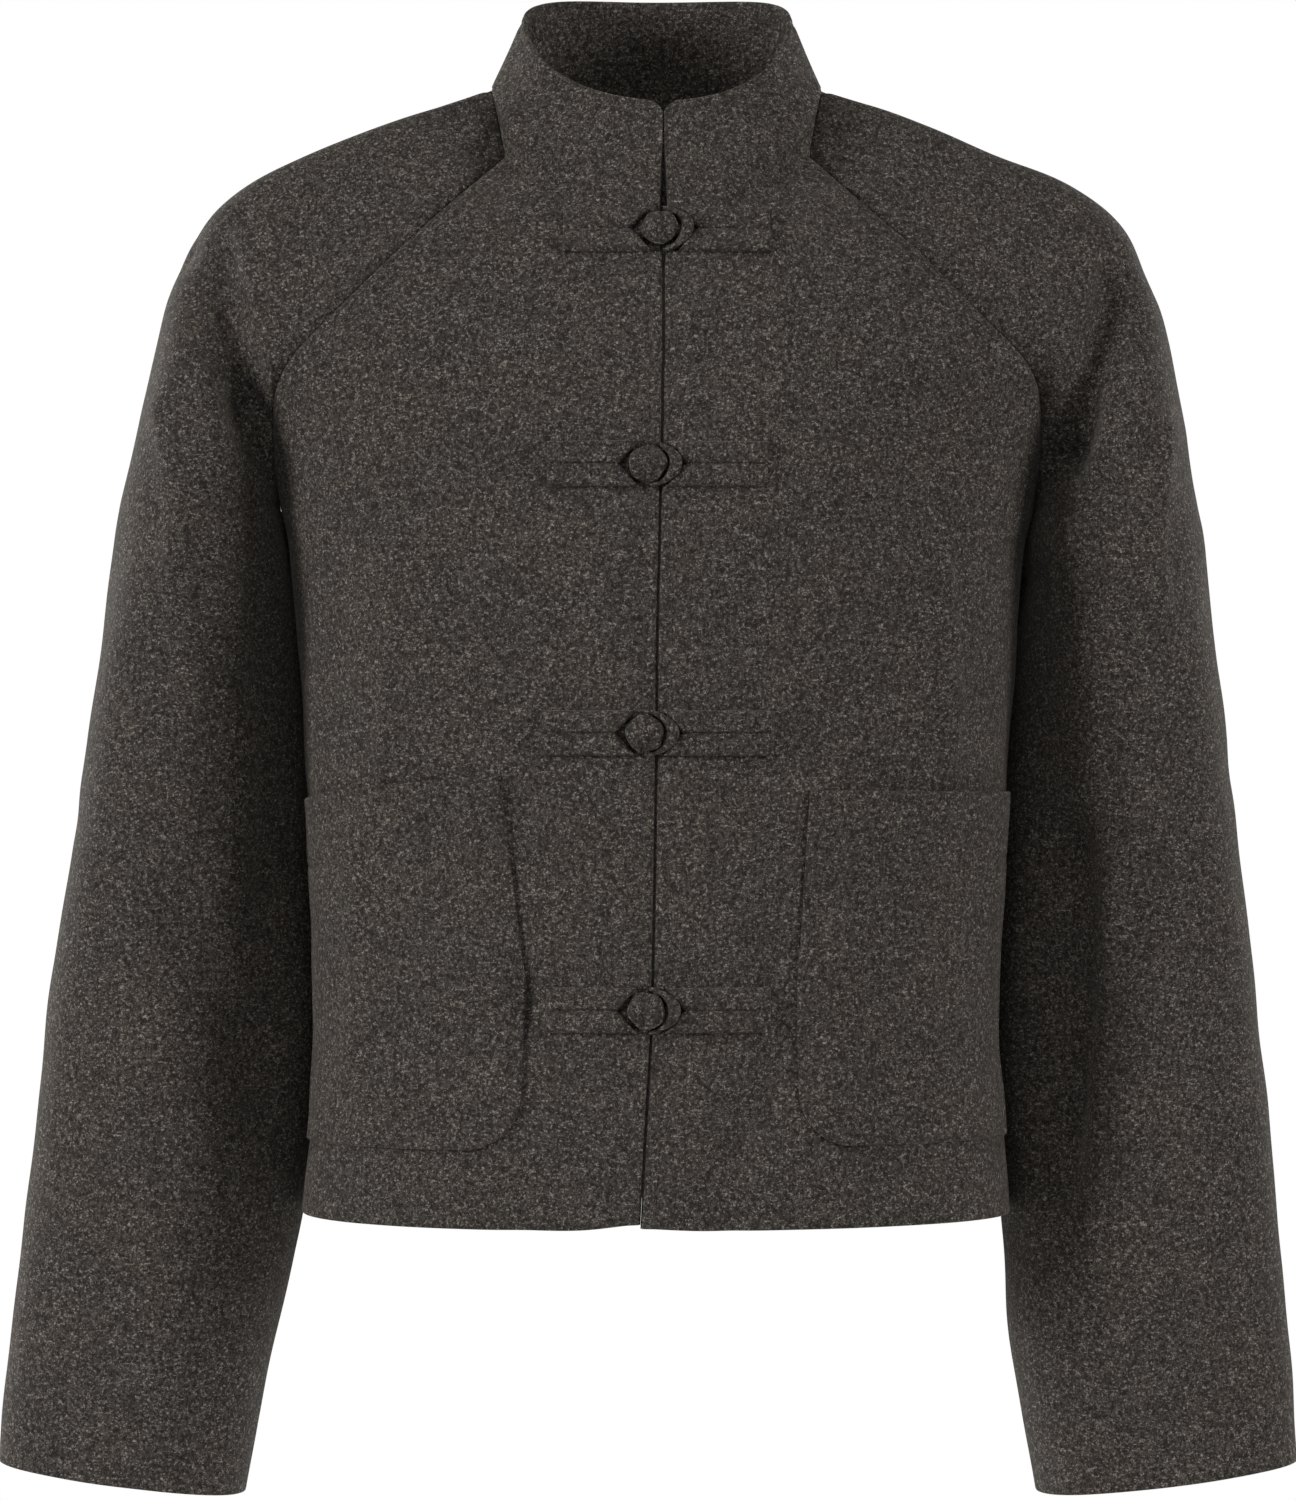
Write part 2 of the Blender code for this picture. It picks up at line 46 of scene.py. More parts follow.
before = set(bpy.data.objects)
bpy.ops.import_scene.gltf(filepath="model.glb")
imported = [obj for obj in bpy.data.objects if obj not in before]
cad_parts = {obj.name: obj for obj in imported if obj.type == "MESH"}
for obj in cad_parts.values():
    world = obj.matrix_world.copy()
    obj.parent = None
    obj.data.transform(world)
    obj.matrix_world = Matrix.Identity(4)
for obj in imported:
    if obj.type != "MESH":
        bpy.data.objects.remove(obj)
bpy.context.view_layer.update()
BODY = "root"
MM = 0.001

# Half of the body, one row per section, from the hem up to the collar's rim. The centre is the front or
# back middle line, the edge is the side seam, then the raglan seam, then the neck and the collar's side.
# flat and bend are the lengths of the two handles, turn is the way the row runs at its edge, from
# sideways (0) to front-to-back (90), and dip lowers the edge's handle.
Row = namedtuple("Row", "name centre_y centre_z edge_x edge_y edge_z flat turn bend dip")
FRONT = [
    Row("hem", -118, -548.5, 173.5, 0.0, -547, 107, 90, 73, 0),
    Row("hip", -119, -492, 168.0, 0.0, -492, 104, 90, 74, 0),
    Row("waist", -119, -443, 165.5, 0.0, -443, 103, 90, 74, 0),
    Row("pocket", -121, -345, 171.0, 0.0, -345, 106, 90, 75, 0),
    Row("rib", -124, -267, 176.0, 0.0, -267, 109, 90, 77, 0),
    Row("chest", -123, -225, 179.5, 0.0, -225, 111, 90, 76, 0),
    Row("underarm", -121, -202, 184.5, 0.0, -203, 113, 88, 72, 0),
    Row("armpit", -119, -182, 186.0, -25.0, -182, 100, 74, 58, 0),
    Row("fold", -115, -160, 186.0, -42.0, -157, 94, 62, 50, 0),
    Row("bust", -112, -147, 183.0, -54.0, -143, 88, 53, 46, 0),
    Row("breast", -108, -134, 175.0, -63.0, -130, 82, 45, 44, 0),
    Row("yoke", -102, -116, 156.5, -69.0, -111, 74, 38, 42, 1),
    Row("clavicle", -93, -95, 129.0, -66.0, -83, 69, 37, 34, 4),
    Row("shoulder", -85, -78, 100.0, -52.0, -56, 55, 45, 33, 8),
    Row("notch", -77, -62, 74.5, -28.0, -32, 43, 62, 30, 13),
    Row("root", -72, -49, 81.5, -4.0, 4, 45, 84, 41, 26),
    Row("stand", -66, -29, 73.5, 1.0, 20, 41, 90, 38, 27),
    Row("rim", -61, -8, 65.0, 4.0, 39, 37, 90, 36, 28),
]
BACK = [
    Row("hem", 110, -548, 173.5, 0.0, -547, 107, 90, 68, 0),
    Row("hip", 111, -492, 168.0, 0.0, -492, 104, 90, 69, 0),
    Row("waist", 110, -443, 165.5, 0.0, -443, 103, 90, 69, 0),
    Row("pocket", 113, -345, 171.0, 0.0, -345, 106, 90, 70, 0),
    Row("rib", 117, -267, 176.0, 0.0, -267, 109, 90, 72, 0),
    Row("chest", 118, -225, 179.5, 0.0, -225, 111, 90, 73, 0),
    Row("underarm", 119, -202, 184.5, 0.0, -203, 113, 88, 71, 0),
    Row("armpit", 119, -182, 186.0, 29.0, -182, 99, 73, 56, 0),
    Row("fold", 119, -160, 186.0, 50.0, -157, 91, 61, 48, 0),
    Row("bust", 118, -145, 182.0, 61.0, -140, 86, 52, 44, 0),
    Row("breast", 117, -130, 173.0, 69.0, -123, 81, 45, 42, 0),
    Row("yoke", 114, -107, 154.0, 75.0, -100, 73, 38, 41, 0),
    Row("clavicle", 105, -78, 127.0, 74.0, -69, 69, 37, 34, 0),
    Row("shoulder", 92, -50, 99.0, 62.0, -41, 55, 45, 33, 0),
    Row("notch", 77, -24, 76.0, 36.0, -16, 43, 62, 30, 0),
    Row("root", 70, -4, 81.5, -4.0, 4, 45, 84, 41, 0),
    Row("stand", 61, 24, 73.5, 1.0, 20, 41, 90, 38, -4),
    Row("rim", 53, 51.5, 65.0, 4.0, 39, 37, 90, 30, -14),
]
UNDERARM, NOTCH, ROOT, RIM = 6, 14, 15, 17
EDGE_CORNERS = (UNDERARM, NOTCH, ROOT)

# The front middle line: how far it leans sideways, and half of the space between the two front edges.
CENTRE_LEAN = [-8, -5, -2.5, -0.7, 0, 1, 1.5, 2, 2.5, 2.5, 3, 3, 3, 3, 3, 3, 3, 3]
CENTRE_SPACE = [0, 0, 0, 0, 0, 0, 0, 0, 0, 0, 0, 0, 0, 0.5, 1.5, 1.0, 0.4, 0.3]

# A sleeve, one row per station from the neck to the cuff. The first nine stations start on the raglan
# seam, and the rest on the underarm seam, at inner_left or inner_right, inner_y and inner_z. Each row runs
# round the arm to the overarm seam, at over_left or over_right, over_y and over_z. start_x, start_y and
# start_z are its first handle and crown its last one, forwards; back_y and back_crown are those behind.
Station = namedtuple(
    "Station",
    "name inner_left inner_right inner_y inner_z start_x start_y start_z back_y"
    " over_left over_right over_y over_z crown back_crown",
)
ON_RAGLAN = (0, 0, 0, 0)
SLEEVE = [
    Station("neck", *ON_RAGLAN, 0, 0, 0, 0, 81.5, 81.5, -4, 4, 0, 0),
    Station("collar side", *ON_RAGLAN, 7, 17, 17, -17, 123, 121, -2, -11, 18, 18),
    Station("shoulder", *ON_RAGLAN, 13, 24, 24, -24, 174, 171, 0, -31, 26, 26),
    Station("yoke", *ON_RAGLAN, 16, 20, 30, -20, 203, 205, 2, -46, 34, 34),
    Station("shoulder end", *ON_RAGLAN, 22, 9, 27, -9, 223.5, 228.5, 3, -66, 48, 48),
    Station("sleeve head", *ON_RAGLAN, 27, -12, 17, 12, 236.5, 242, 4, -91, 61, 61),
    Station("fold", *ON_RAGLAN, 27, -40, 8, 40, 245, 250, 5, -121, 74, 76),
    Station("armpit", *ON_RAGLAN, 18, -66, 3, 70, 252, 256.5, 6, -152, 86, 88),
    Station("underarm", *ON_RAGLAN, 9, -88, 0, 92, 261, 263.5, 8, -194, 94, 98),
    Station("under fold", 183, 183, 6, -207, 5, -94, 0, 94, 263, 265, 8, -204, 97, 100),
    Station("upper arm", 179.5, 179.5, 15, -224, 0, -103, 0, 92, 266, 268, 9, -221, 103, 98),
    Station("biceps", 174, 174, 30, -267, 0, -108, 0, 79, 272, 273, 11, -262, 110, 94),
    Station("above elbow", 168, 168, 38, -345, 0, -92, 0, 70, 283, 282.5, 14, -338, 108, 90),
    Station("elbow", 163, 163, 40, -443, 0, -84, 0, 56, 298, 294.5, 18, -437, 98, 75),
    Station("below elbow", 166, 165.5, 40, -492, 0, -88, 0, 52, 304, 300, 20, -485, 92, 70),
    Station("hem level", 174.5, 170.5, 38, -546, 0, -98, 0, 50, 310, 305, 21, -537, 86, 66),
    Station("lower arm", 186.5, 173.5, 34, -600, 0, -94, 0, 47, 316, 309.5, 22, -588, 78, 62),
    Station("wrist", 195.5, 180, 30, -648, 0, -88, 0, 46, 321.5, 313.5, 22, -635, 71, 58),
    Station("cuff", 203.5, 187, 28, -687, 0, -80, 0, 44, 324.5, 316, 22, -671, 66, 55),
]

# Rounded corners of the collar at the front, and the hem's lift at the front middle line. A collar row
# and the hem's row are this high.
COLLAR_CORNER, COLLAR_WIDTH, COLLAR_ROW = 7.0, 96, 21
HEM_LIFT_LEFT, HEM_LIFT_RIGHT, HEM_LIFT_WIDTH, HEM_ROW = 3.0, 1.2, 16, 56
FRONT_WIDTH, BACK_WIDTH, SLEEVE_WIDTH = 250, 480, 200

# Creases of the cloth, one row each: a soft ridge (height above 0) or trough (below 0) along a line from
# (x1, z1) to (x2, z2) in the front view, bowed sideways at its middle and fading over its width.
Crease = namedtuple("Crease", "name x1 z1 x2 z2 bow width height")
FRONT_CREASES = [
    Crease("left bust", -122, -245, -130, -330, 0, 22, 3.0),
    Crease("left bust, crest", -119, -246, -128, -332, -3, 5, 3.0),
    Crease("right bust", 136, -240, 140, -335, 0, 22, 3.0),
    Crease("right bust, crest", 134, -228, 138, -336, 2, 5, 3.0),
    Crease("left pocket", -146, -370, -146, -480, 0, 18, 2.5),
    Crease("left pocket, crest", -143, -372, -142, -476, 2, 5, 2.4),
    Crease("left hem", -60, -440, -64, -545, 0, 12, -4.0),
    Crease("left hem, upper", -66, -345, -60, -440, -3, 8, -3.6),
    Crease("right hem", 40, -492, 35, -545, 0, 9, -3.2),
    Crease("right of last frog", 55, -412, 52, -500, 3, 9, -3.4),
    Crease("under first frog", -62, -87, 104, -88, -2, 5, -0.7),
    Crease("left yoke drag", -150, -128, -92, -190, 6, 14, -0.9),
    Crease("right yoke drag", 152, -134, 98, -206, -6, 14, -0.9),
    Crease("left side", -158, -250, -150, -322, 3, 12, -1.0),
    Crease("right side", 160, -258, 156, -332, -3, 12, -1.0),
]
BACK_CREASES = [
    Crease("left blade", -96, -150, -112, -300, 8, 20, 3.4),
    Crease("right blade", 92, -158, 116, -318, -8, 20, 3.6),
    Crease("left armhole drag", -148, -150, -104, -222, 8, 11, -2.6),
    Crease("right armhole drag", 150, -146, 100, -210, -8, 11, -2.3),
    Crease("middle hollow", -6, -255, 4, -470, 5, 22, -3.4),
    Crease("left hem", -74, -405, -82, -545, 3, 13, -3.8),
    Crease("right hem", 58, -430, 66, -545, -3, 12, -3.6),
    Crease("left hem roll", -128, -400, -134, -545, -2, 13, 3.0),
    Crease("right hem roll", 118, -390, 128, -545, 2, 13, 3.2),
    Crease("neck drag", -48, -62, 46, -66, -5, 9, -0.8),
]
SLEEVE_FRONT_CREASES = [
    Crease("left armpit", -222, -84, -190, -172, 0, 13, -8.0),
    Crease("left armpit, fold", -202, -72, -186, -148, 1, 5, 3.6),
    Crease("left armpit, deep", -211, -80, -192, -160, 1, 8, -6.5),
    Crease("right armpit", 226, -94, 194, -178, 0, 13, -8.0),
    Crease("right armpit, fold", 211, -84, 187, -170, -1, 5, 3.6),
    Crease("right armpit, deep", 221, -92, 196, -178, -1, 9, -7.0),
    Crease("left elbow", -235, -400, -196, -488, 0, 18, -4.0),
    Crease("left elbow, lip", -250, -392, -214, -470, 4, 9, 1.2),
    Crease("right elbow", 232, -380, 196, -500, 0, 18, -4.0),
    Crease("right elbow, lip", 226, -352, 222, -440, -4, 9, 1.3),
    Crease("left upper ridge", -238, -156, -230, -232, 3, 7, 4.4),
    Crease("left upper ridge, lower", -231, -228, -221, -296, -2, 9, 3.2),
    Crease("right upper ridge", 246, -168, 238, -250, -3, 7, 4.4),
    Crease("right upper ridge, lower", 240, -246, 231, -352, 2, 9, 3.2),
    Crease("left inner side, upper", -192, -225, -187, -390, 3, 14, -4.0),
    Crease("left inner side, lower", -185, -385, -188, -530, -3, 12, -4.0),
    Crease("left inner side, edge", -206, -240, -202, -385, 3, 9, 2.6),
    Crease("right inner side, upper", 184, -240, 190, -368, -3, 13, -5.0),
    Crease("right inner side, lower", 197, -372, 191, -528, 3, 17, -14.0),
    Crease("right inner side, edge", 214, -366, 207, -516, 3, 7, 3.4),
    Crease("left outer drag", -292, -352, -240, -378, 3, 10, -0.9),
    Crease("right outer drag", 288, -330, 244, -362, -3, 10, -0.9),
    Crease("left cuff", -262, -560, -255, -668, -3, 16, -1.1),
    Crease("right cuff", 262, -548, 250, -660, 3, 16, -1.1),
    Crease("left shoulder pull", -84, -12, -102, -40, 2, 6, 1.6),
    Crease("right shoulder pull", 92, -18, 108, -44, -2, 7, 0.8),
]
SLEEVE_BACK_CREASES = [
    Crease("left back fold", -226, -96, -194, -184, -3, 13, -3.6),
    Crease("right back fold", 228, -100, 196, -188, 3, 13, -3.6),
    Crease("left elbow upper", -278, -355, -212, -384, 5, 10, -3.4),
    Crease("left elbow lower", -290, -412, -208, -440, 5, 10, -4.0),
    Crease("right elbow upper", 276, -349, 214, -372, -5, 10, -3.6),
    Crease("right elbow lower", 290, -404, 206, -436, -5, 10, -3.8),
    Crease("left elbow roll", -266, -391, -214, -412, 4, 9, 2.6),
    Crease("right elbow roll", 262, -383, 212, -404, -4, 9, 2.6),
    Crease("left lower sleeve", -262, -520, -272, -664, 3, 17, -1.4),
    Crease("right lower sleeve", 258, -530, 262, -664, -3, 17, -1.3),
]

# Slow unevenness over the whole cloth: how fast each wave runs along x, y and z, where it starts and its
# height.
Ripple = namedtuple("Ripple", "along_x along_y along_z start height")
RIPPLES = [
    Ripple(0.071, 0.050, 0.023, 0.4, 0.28),
    Ripple(-0.046, 0.038, 0.061, 2.1, 0.30),
    Ripple(0.118, -0.061, -0.083, 1.3, 0.16),
    Ripple(0.033, 0.094, -0.127, 4.2, 0.14),
]

# Patch pocket: inner_x at its mouth, its middle and its foot, then the heights of its mouth and foot.
Pocket = namedtuple("Pocket", "name side mouth_x middle_x foot_x mouth_inner_z mouth_outer_z foot_z")
POCKETS = [
    Pocket("pocket_left", -1, 75, 63, 66, -333, -345, -511),
    Pocket("pocket_right", 1, 72, 66, 67, -340, -341, -509),
]
POCKET_OUTER_TURN = 0.93
POCKET_CORNER = 26
POCKET_WALL = 1.8
POCKET_LAY = 0.5
POCKET_GAPE = 2.6
POCKET_GAPE_DEPTH = 45
POCKET_FACING = 33
POCKET_SEW = 4.5
POCKET_CORNER_SEW = 9.5
# Where the middle_x lies up a pocket, how far it bends round its front at this row, and the widths of the
# troughs that its sewing pulls, with the facing's share of their depth.
POCKET_MIDDLE = 0.45
POCKET_ROW, POCKET_BEND = 3.0, 45
POCKET_SEW_WIDTH, POCKET_FACING_WIDTH, POCKET_FACING_SHARE = 1.2, 1.6, 0.8
# Grid lines that the pocket's sewing keeps from its sides and its mouth, and a line across its middle.
SEW_FROM_SIDE, SEW_FROM_MOUTH, SEW_MIDDLE = 4, 2, 20

# Frog fastenings: a row for each, with the height of its middle, the knot's place and the strips' outer ends.
Frog = namedtuple("Frog", "number z knot_x left_end right_end")
FROGS = [
    Frog(1, -73, 1.3, -45, 54),
    Frog(2, -186, -4.5, -52, 52),
    Frog(3, -313, -6.0, -55, 55),
    Frog(4, -444, -5.2, -53, 54),
]
FROG_HEIGHT = 21.5
FROG_THICK = 3.4
FROG_EDGE_THICK = 0.5
FROG_ROUND = 1.6
FROG_BOX = 8.5
FROG_DENT = 0.6
FROG_VALLEY = 0.4
# How square a folded strip is, grid lines to its height and length, and the part of it outside its sewn box.
FROG_SQUARE = 6
FROG_ROWS, FROG_STEPS = 1.1, 1.6
FROG_BOX_PART = 8
# Each strip's inner end is notched for the knot: how deep on the left and on the right, how fast it closes,
# and the least that it keeps off the knot's middle.
NOTCH_LEFT, NOTCH_RIGHT, NOTCH_SLOPE, NOTCH_LEAST = 13.4, 17.8, 0.84, 4.0
KNOT_RADIUS = 9.4
KNOT_THICK = 9.0
KNOT_FLAT = -0.45
KNOT_SEAT = 0.5
KNOT_FOLD = 0.8
# The knots' outlines are drawn in unevenly: times round the knot, the share of the radius, and the turn
# from one knot to the next.
DrawnIn = namedtuple("DrawnIn", "times share turn")
KNOT_DRAWN_IN = [DrawnIn(2, 0.05, 0.6), DrawnIn(5, 0.06, 0.9)]
KNOT_SLACK = 1.4
KNOT_STEPS, KNOT_RINGS = 72, 40
# A knot's folds: their width, how much they draw the outline in, and where they start and how fast they rise.
FOLD_WIDTH, FOLD_DRAW, FOLD_START, FOLD_RISE = 0.075, 0.03, 0.25, 0.5
LOOP_RADIUS = 3.0
LOOP_POINT = 0.6
LOOP_TURN = 82
LOOP_HEIGHT = 1.15
# A loop's grid, how thin its ends are, and how fast it swells to its point.
LOOP_STEPS, LOOP_SIDES = 45, 14
LOOP_END, LOOP_SWELL = 0.28, 4
LOOP_MERGE, KNOT_MERGE = 0.02, 0.005
LAY_GAP = 0.3

# Folds on a knot: arcs of a circle about (x, y) in knot radii, with the circle's radius.
Arc = namedtuple("Arc", "x y radius")
KNOT_ARCS = [Arc(-1.35, 0.55, 1.22), Arc(1.25, -0.75, 1.20)]


# Small step along a surface, halvings to find a place on it, and rounds to find a spot of a front.
NORMAL_STEP = 0.01
HALVINGS = 30
SPOT_ROUNDS = 5


def column(table, name):
    """One named column of a table."""
    return np.array([getattr(row, name) for row in table], float)


def along(values, place, corners=()):
    """Smooth value of a column at fractional rows, with a sharp turn allowed at the corner rows."""
    values = np.asarray(values, float)
    place = np.asarray(place, float)
    steps = np.diff(values)
    inner = (steps[:-1] + steps[1:]) / 2
    slope_in = np.concatenate([steps[:1], inner, steps[-1:]])
    slope_out = slope_in.copy()
    for row in corners:
        slope_in[row] = steps[row - 1]
        slope_out[row] = steps[row]
    low = np.clip(np.floor(place).astype(int), 0, len(values) - 2)
    part = place - low
    rise = part * part * (3 - 2 * part)
    leave = part * (1 - part) ** 2
    arrive = -part * part * (1 - part)
    return values[low] + rise * steps[low] + leave * slope_out[low] + arrive * slope_in[low + 1]


def stacked(*parts):
    """Arrays x, y and z as one array of points."""
    return np.stack(np.broadcast_arrays(*parts), axis=-1)


def bezier(start, first, second, end, part):
    """Points of cubic curves at a fraction of their way."""
    part = np.asarray(part)[..., None]
    rest = 1 - part
    return rest**3 * start + 3 * rest**2 * part * first + 3 * rest * part**2 * second + part**3 * end


def body_edge(table, side, row):
    """The side seam, raglan seam and collar side of the body."""
    edge_x, edge_y, edge_z = (along(column(table, "edge_" + axis), row, EDGE_CORNERS) for axis in "xyz")
    return stacked(side * edge_x, edge_y, edge_z)


def body_point(table, side, centre_x, across, row):
    """A point of the body: across is 0 at the middle line and 1 at the edge."""
    across, row = np.broadcast_arrays(np.asarray(across, float), np.asarray(row, float))
    way = np.sign(table[0].centre_y) * -1
    centre = stacked(centre_x, along(column(table, "centre_y"), row), along(column(table, "centre_z"), row))
    edge = body_edge(table, side, row)
    flat, bend, dip = (along(column(table, name), row) for name in ("flat", "bend", "dip"))
    turn = np.radians(along(column(table, "turn"), row))
    first = centre + stacked(side * flat, 0, 0)
    second = edge - stacked(side * bend * np.cos(turn), way * bend * np.sin(turn), dip)
    return bezier(centre, first, second, edge, across)


def corner_shift(side, across, row):
    """How far the rows of a front shift, to round the collar's corner and to lift the hem's."""
    from_rim = np.clip(COLLAR_CORNER - np.asarray(across) * COLLAR_WIDTH, 0, COLLAR_CORNER)
    fall = COLLAR_CORNER - np.sqrt(COLLAR_CORNER**2 - from_rim**2)
    lift = HEM_LIFT_LEFT if side < 0 else HEM_LIFT_RIGHT
    rise = lift * np.exp(-((np.asarray(across) * FRONT_WIDTH / HEM_LIFT_WIDTH) ** 2))
    return smooth(1 - row) * rise / HEM_ROW - smooth((row - ROOT) / (RIM - ROOT)) * fall / COLLAR_ROW


def front_point(side, across, row):
    """A point of one front."""
    row = np.asarray(row, float)
    centre_x = along(CENTRE_LEAN, row) + side * along(CENTRE_SPACE, row)
    return body_point(FRONT, side, centre_x, across, row + corner_shift(side, across, row))


def back_point(across, row):
    """A point of the back: across runs from -1 at the left seam to 1 at the right one."""
    across = np.asarray(across, float)
    side = np.where(across < 0, -1.0, 1.0)
    return body_point(BACK, side, 0.0, np.abs(across), row)


def columns(table, *names):
    """Named columns side by side, as points."""
    return np.stack([column(table, name) for name in names], axis=-1)


def sleeve_point(side, face, across, station):
    """A point of a sleeve half: face is -1 in front and 1 behind, across is 0 on the lower seam."""
    hand = "left" if side < 0 else "right"
    table = FRONT if face < 0 else BACK
    across, station = np.broadcast_arrays(np.asarray(across, float), np.asarray(station, float))
    on_raglan = body_edge(table, 1, np.arange(NOTCH, UNDERARM - 1, -1.0))
    on_arm = columns(SLEEVE, "inner_" + hand, "inner_y", "inner_z")[len(on_raglan) :]
    seams = np.concatenate([on_raglan, on_arm])
    overs = columns(SLEEVE, "over_" + hand, "over_y", "over_z")
    starts = columns(SLEEVE, "start_x", "start_y" if face < 0 else "back_y", "start_z")
    crowns = np.zeros(overs.shape)
    crowns[:, 1] = face * column(SLEEVE, "crown" if face < 0 else "back_crown")
    starts[0] = (overs[0] - seams[0]) / 3
    crowns[0] = -starts[0]
    corner = (NOTCH - UNDERARM,)
    seam = stacked(*(along(seams[:, axis], station, corner) for axis in range(3)))
    start, over, crown = (
        stacked(*(along(values[:, axis], station) for axis in range(3))) for values in (starts, overs, crowns)
    )
    return bezier(seam, seam + start, over + crown, over, across) * (side, 1, 1)


def unit(vectors):
    """Vectors made one long."""
    return vectors / np.maximum(np.linalg.norm(vectors, axis=-1, keepdims=True), 1e-9)


def smooth(part):
    """A soft step from 0 to 1."""
    part = np.clip(part, 0, 1)
    return part * part * (3 - 2 * part)


def surface_normals(surface, across, row, flip):
    """Outward normals of a surface, from small steps along it."""
    step = NORMAL_STEP
    run = surface(np.clip(across + step, -1, 1), row) - surface(across - step, row)
    climb = surface(across, row + step) - surface(across, row - step)
    return unit(np.cross(run, climb)) * flip


def at_length(place, run, values):
    """The point at a length along a line of points."""
    return np.array([np.interp(place, run, values[:, axis]) for axis in range(3)])


def solved(rising, wanted, low, high):
    """Where a rising function reaches the wanted values, by halving."""
    low = np.full(wanted.shape, float(low))
    high = np.full(wanted.shape, float(high))
    for _ in range(HALVINGS):
        middle = (low + high) / 2
        under = rising(middle) < wanted
        low = np.where(under, middle, low)
        high = np.where(under, high, middle)
    return (low + high) / 2


def crease_height(creases, points):
    """How far the creases lift the cloth at each point."""
    height = np.zeros(points.shape[:-1])
    for crease in creases:
        start = np.array([crease.x1, crease.z1], float)
        run = np.array([crease.x2, crease.z2], float) - start
        side = np.array([-run[1], run[0]]) / np.linalg.norm(run)
        reach = points[..., [0, 2]] - start
        part = np.clip((reach @ run) / (run @ run), 0, 1)[..., None]
        offset = np.linalg.norm(reach - part * run - crease.bow * 4 * part * (1 - part) * side, axis=-1)
        height += crease.height * np.exp(-((offset / crease.width) ** 2))
    return height


def ripple_height(points):
    """The slow unevenness of the cloth at each point."""
    height = np.zeros(points.shape[:-1])
    for wave in RIPPLES:
        turn = points @ np.array([wave.along_x, wave.along_y, wave.along_z]) + wave.start
        height += wave.height * np.sin(turn)
    return height


# A cut piece: its surface, which way its normals turn, its creases, the lines of its grid, and which of its
# sides are sewn to another piece.
Cut = namedtuple("Cut", "name surface flip creases across rows sewn")
CELL = 3.0
EDGE_LINES = np.array([0, 0.25, 0.7, 1.4, 2.4, 3.8, 5.6, 7.6])
SEAM_REACH = 2.0
SEAM_SPREAD = 12
SEAM_FADE = 9
SEAM_GAP = 0.05
SEAM_VALLEY = 3.0
CREASE_LIMIT = 0.3
DOWN = np.array([0.0, 0.0, -1.0])
NOSE = 0.82
SEAM_NOSE = 0.7
EDGE_SEW_WIDTH = 1.3
FRONT_ROLL_WIDTH = 0.8
HIDDEN_NOSE = 0.12


def rounded(away, radius, most):
    """How far a rounded edge falls off at a distance from it."""
    fall = radius - np.sqrt(radius**2 - (radius - np.minimum(away, radius)) ** 2)
    return np.minimum(fall, most)


def lines_across(width):
    """Steps across a piece, closer together by its two edges."""
    near = EDGE_LINES / width
    inside = np.linspace(near[-1], 1 - near[-1], round(width * (1 - 2 * near[-1]) / CELL) + 1)
    return np.concatenate([near, inside[1:-1], 1 - near[::-1]])


def lines_along(path):
    """Fractional rows along a path of table points, closer together at its two ends."""
    lengths = np.linalg.norm(np.diff(path, axis=0), axis=1)
    rows = [np.arange(0, 1, 1 / max(2, round(length / CELL))) + low for low, length in enumerate(lengths)]
    last = len(lengths)
    rows = np.concatenate(rows)
    first_edge = EDGE_LINES / lengths[0]
    last_edge = last - EDGE_LINES / lengths[-1]
    inside = rows[(rows > first_edge[-1] + 0.01) & (rows < last_edge[-1] - 0.01)]
    return np.concatenate([first_edge, inside, last_edge[::-1]])


def cuts():
    """Every cut piece of the body and the sleeves."""
    rows = lines_along(body_edge(FRONT, 1, np.arange(len(FRONT))))
    across = lines_across(FRONT_WIDTH)
    for name, side in (("front_left", -1), ("front_right", 1)):
        surface = partial(front_point, side)
        yield Cut(name, surface, side, FRONT_CREASES, across, rows, ("last",))
    across = lines_across(BACK_WIDTH) * 2 - 1
    yield Cut("back", back_point, -1, BACK_CREASES, across, rows, ("first", "last"))
    stations = lines_along(columns(SLEEVE, "over_right", "over_y", "over_z"))
    across = lines_across(SLEEVE_WIDTH)
    for half, face, creases in (("front", -1, SLEEVE_FRONT_CREASES), ("back", 1, SLEEVE_BACK_CREASES)):
        for name, side in (("left", -1), ("right", 1)):
            surface = partial(sleeve_point, side, face)
            sewn = ("first", "last", "start")
            yield Cut(f"sleeve_{half}_{name}", surface, side * face, creases, across, stations, sewn)


SIDES = {"first": np.s_[:, 0], "last": np.s_[:, -1], "start": np.s_[0, :], "end": np.s_[-1, :]}


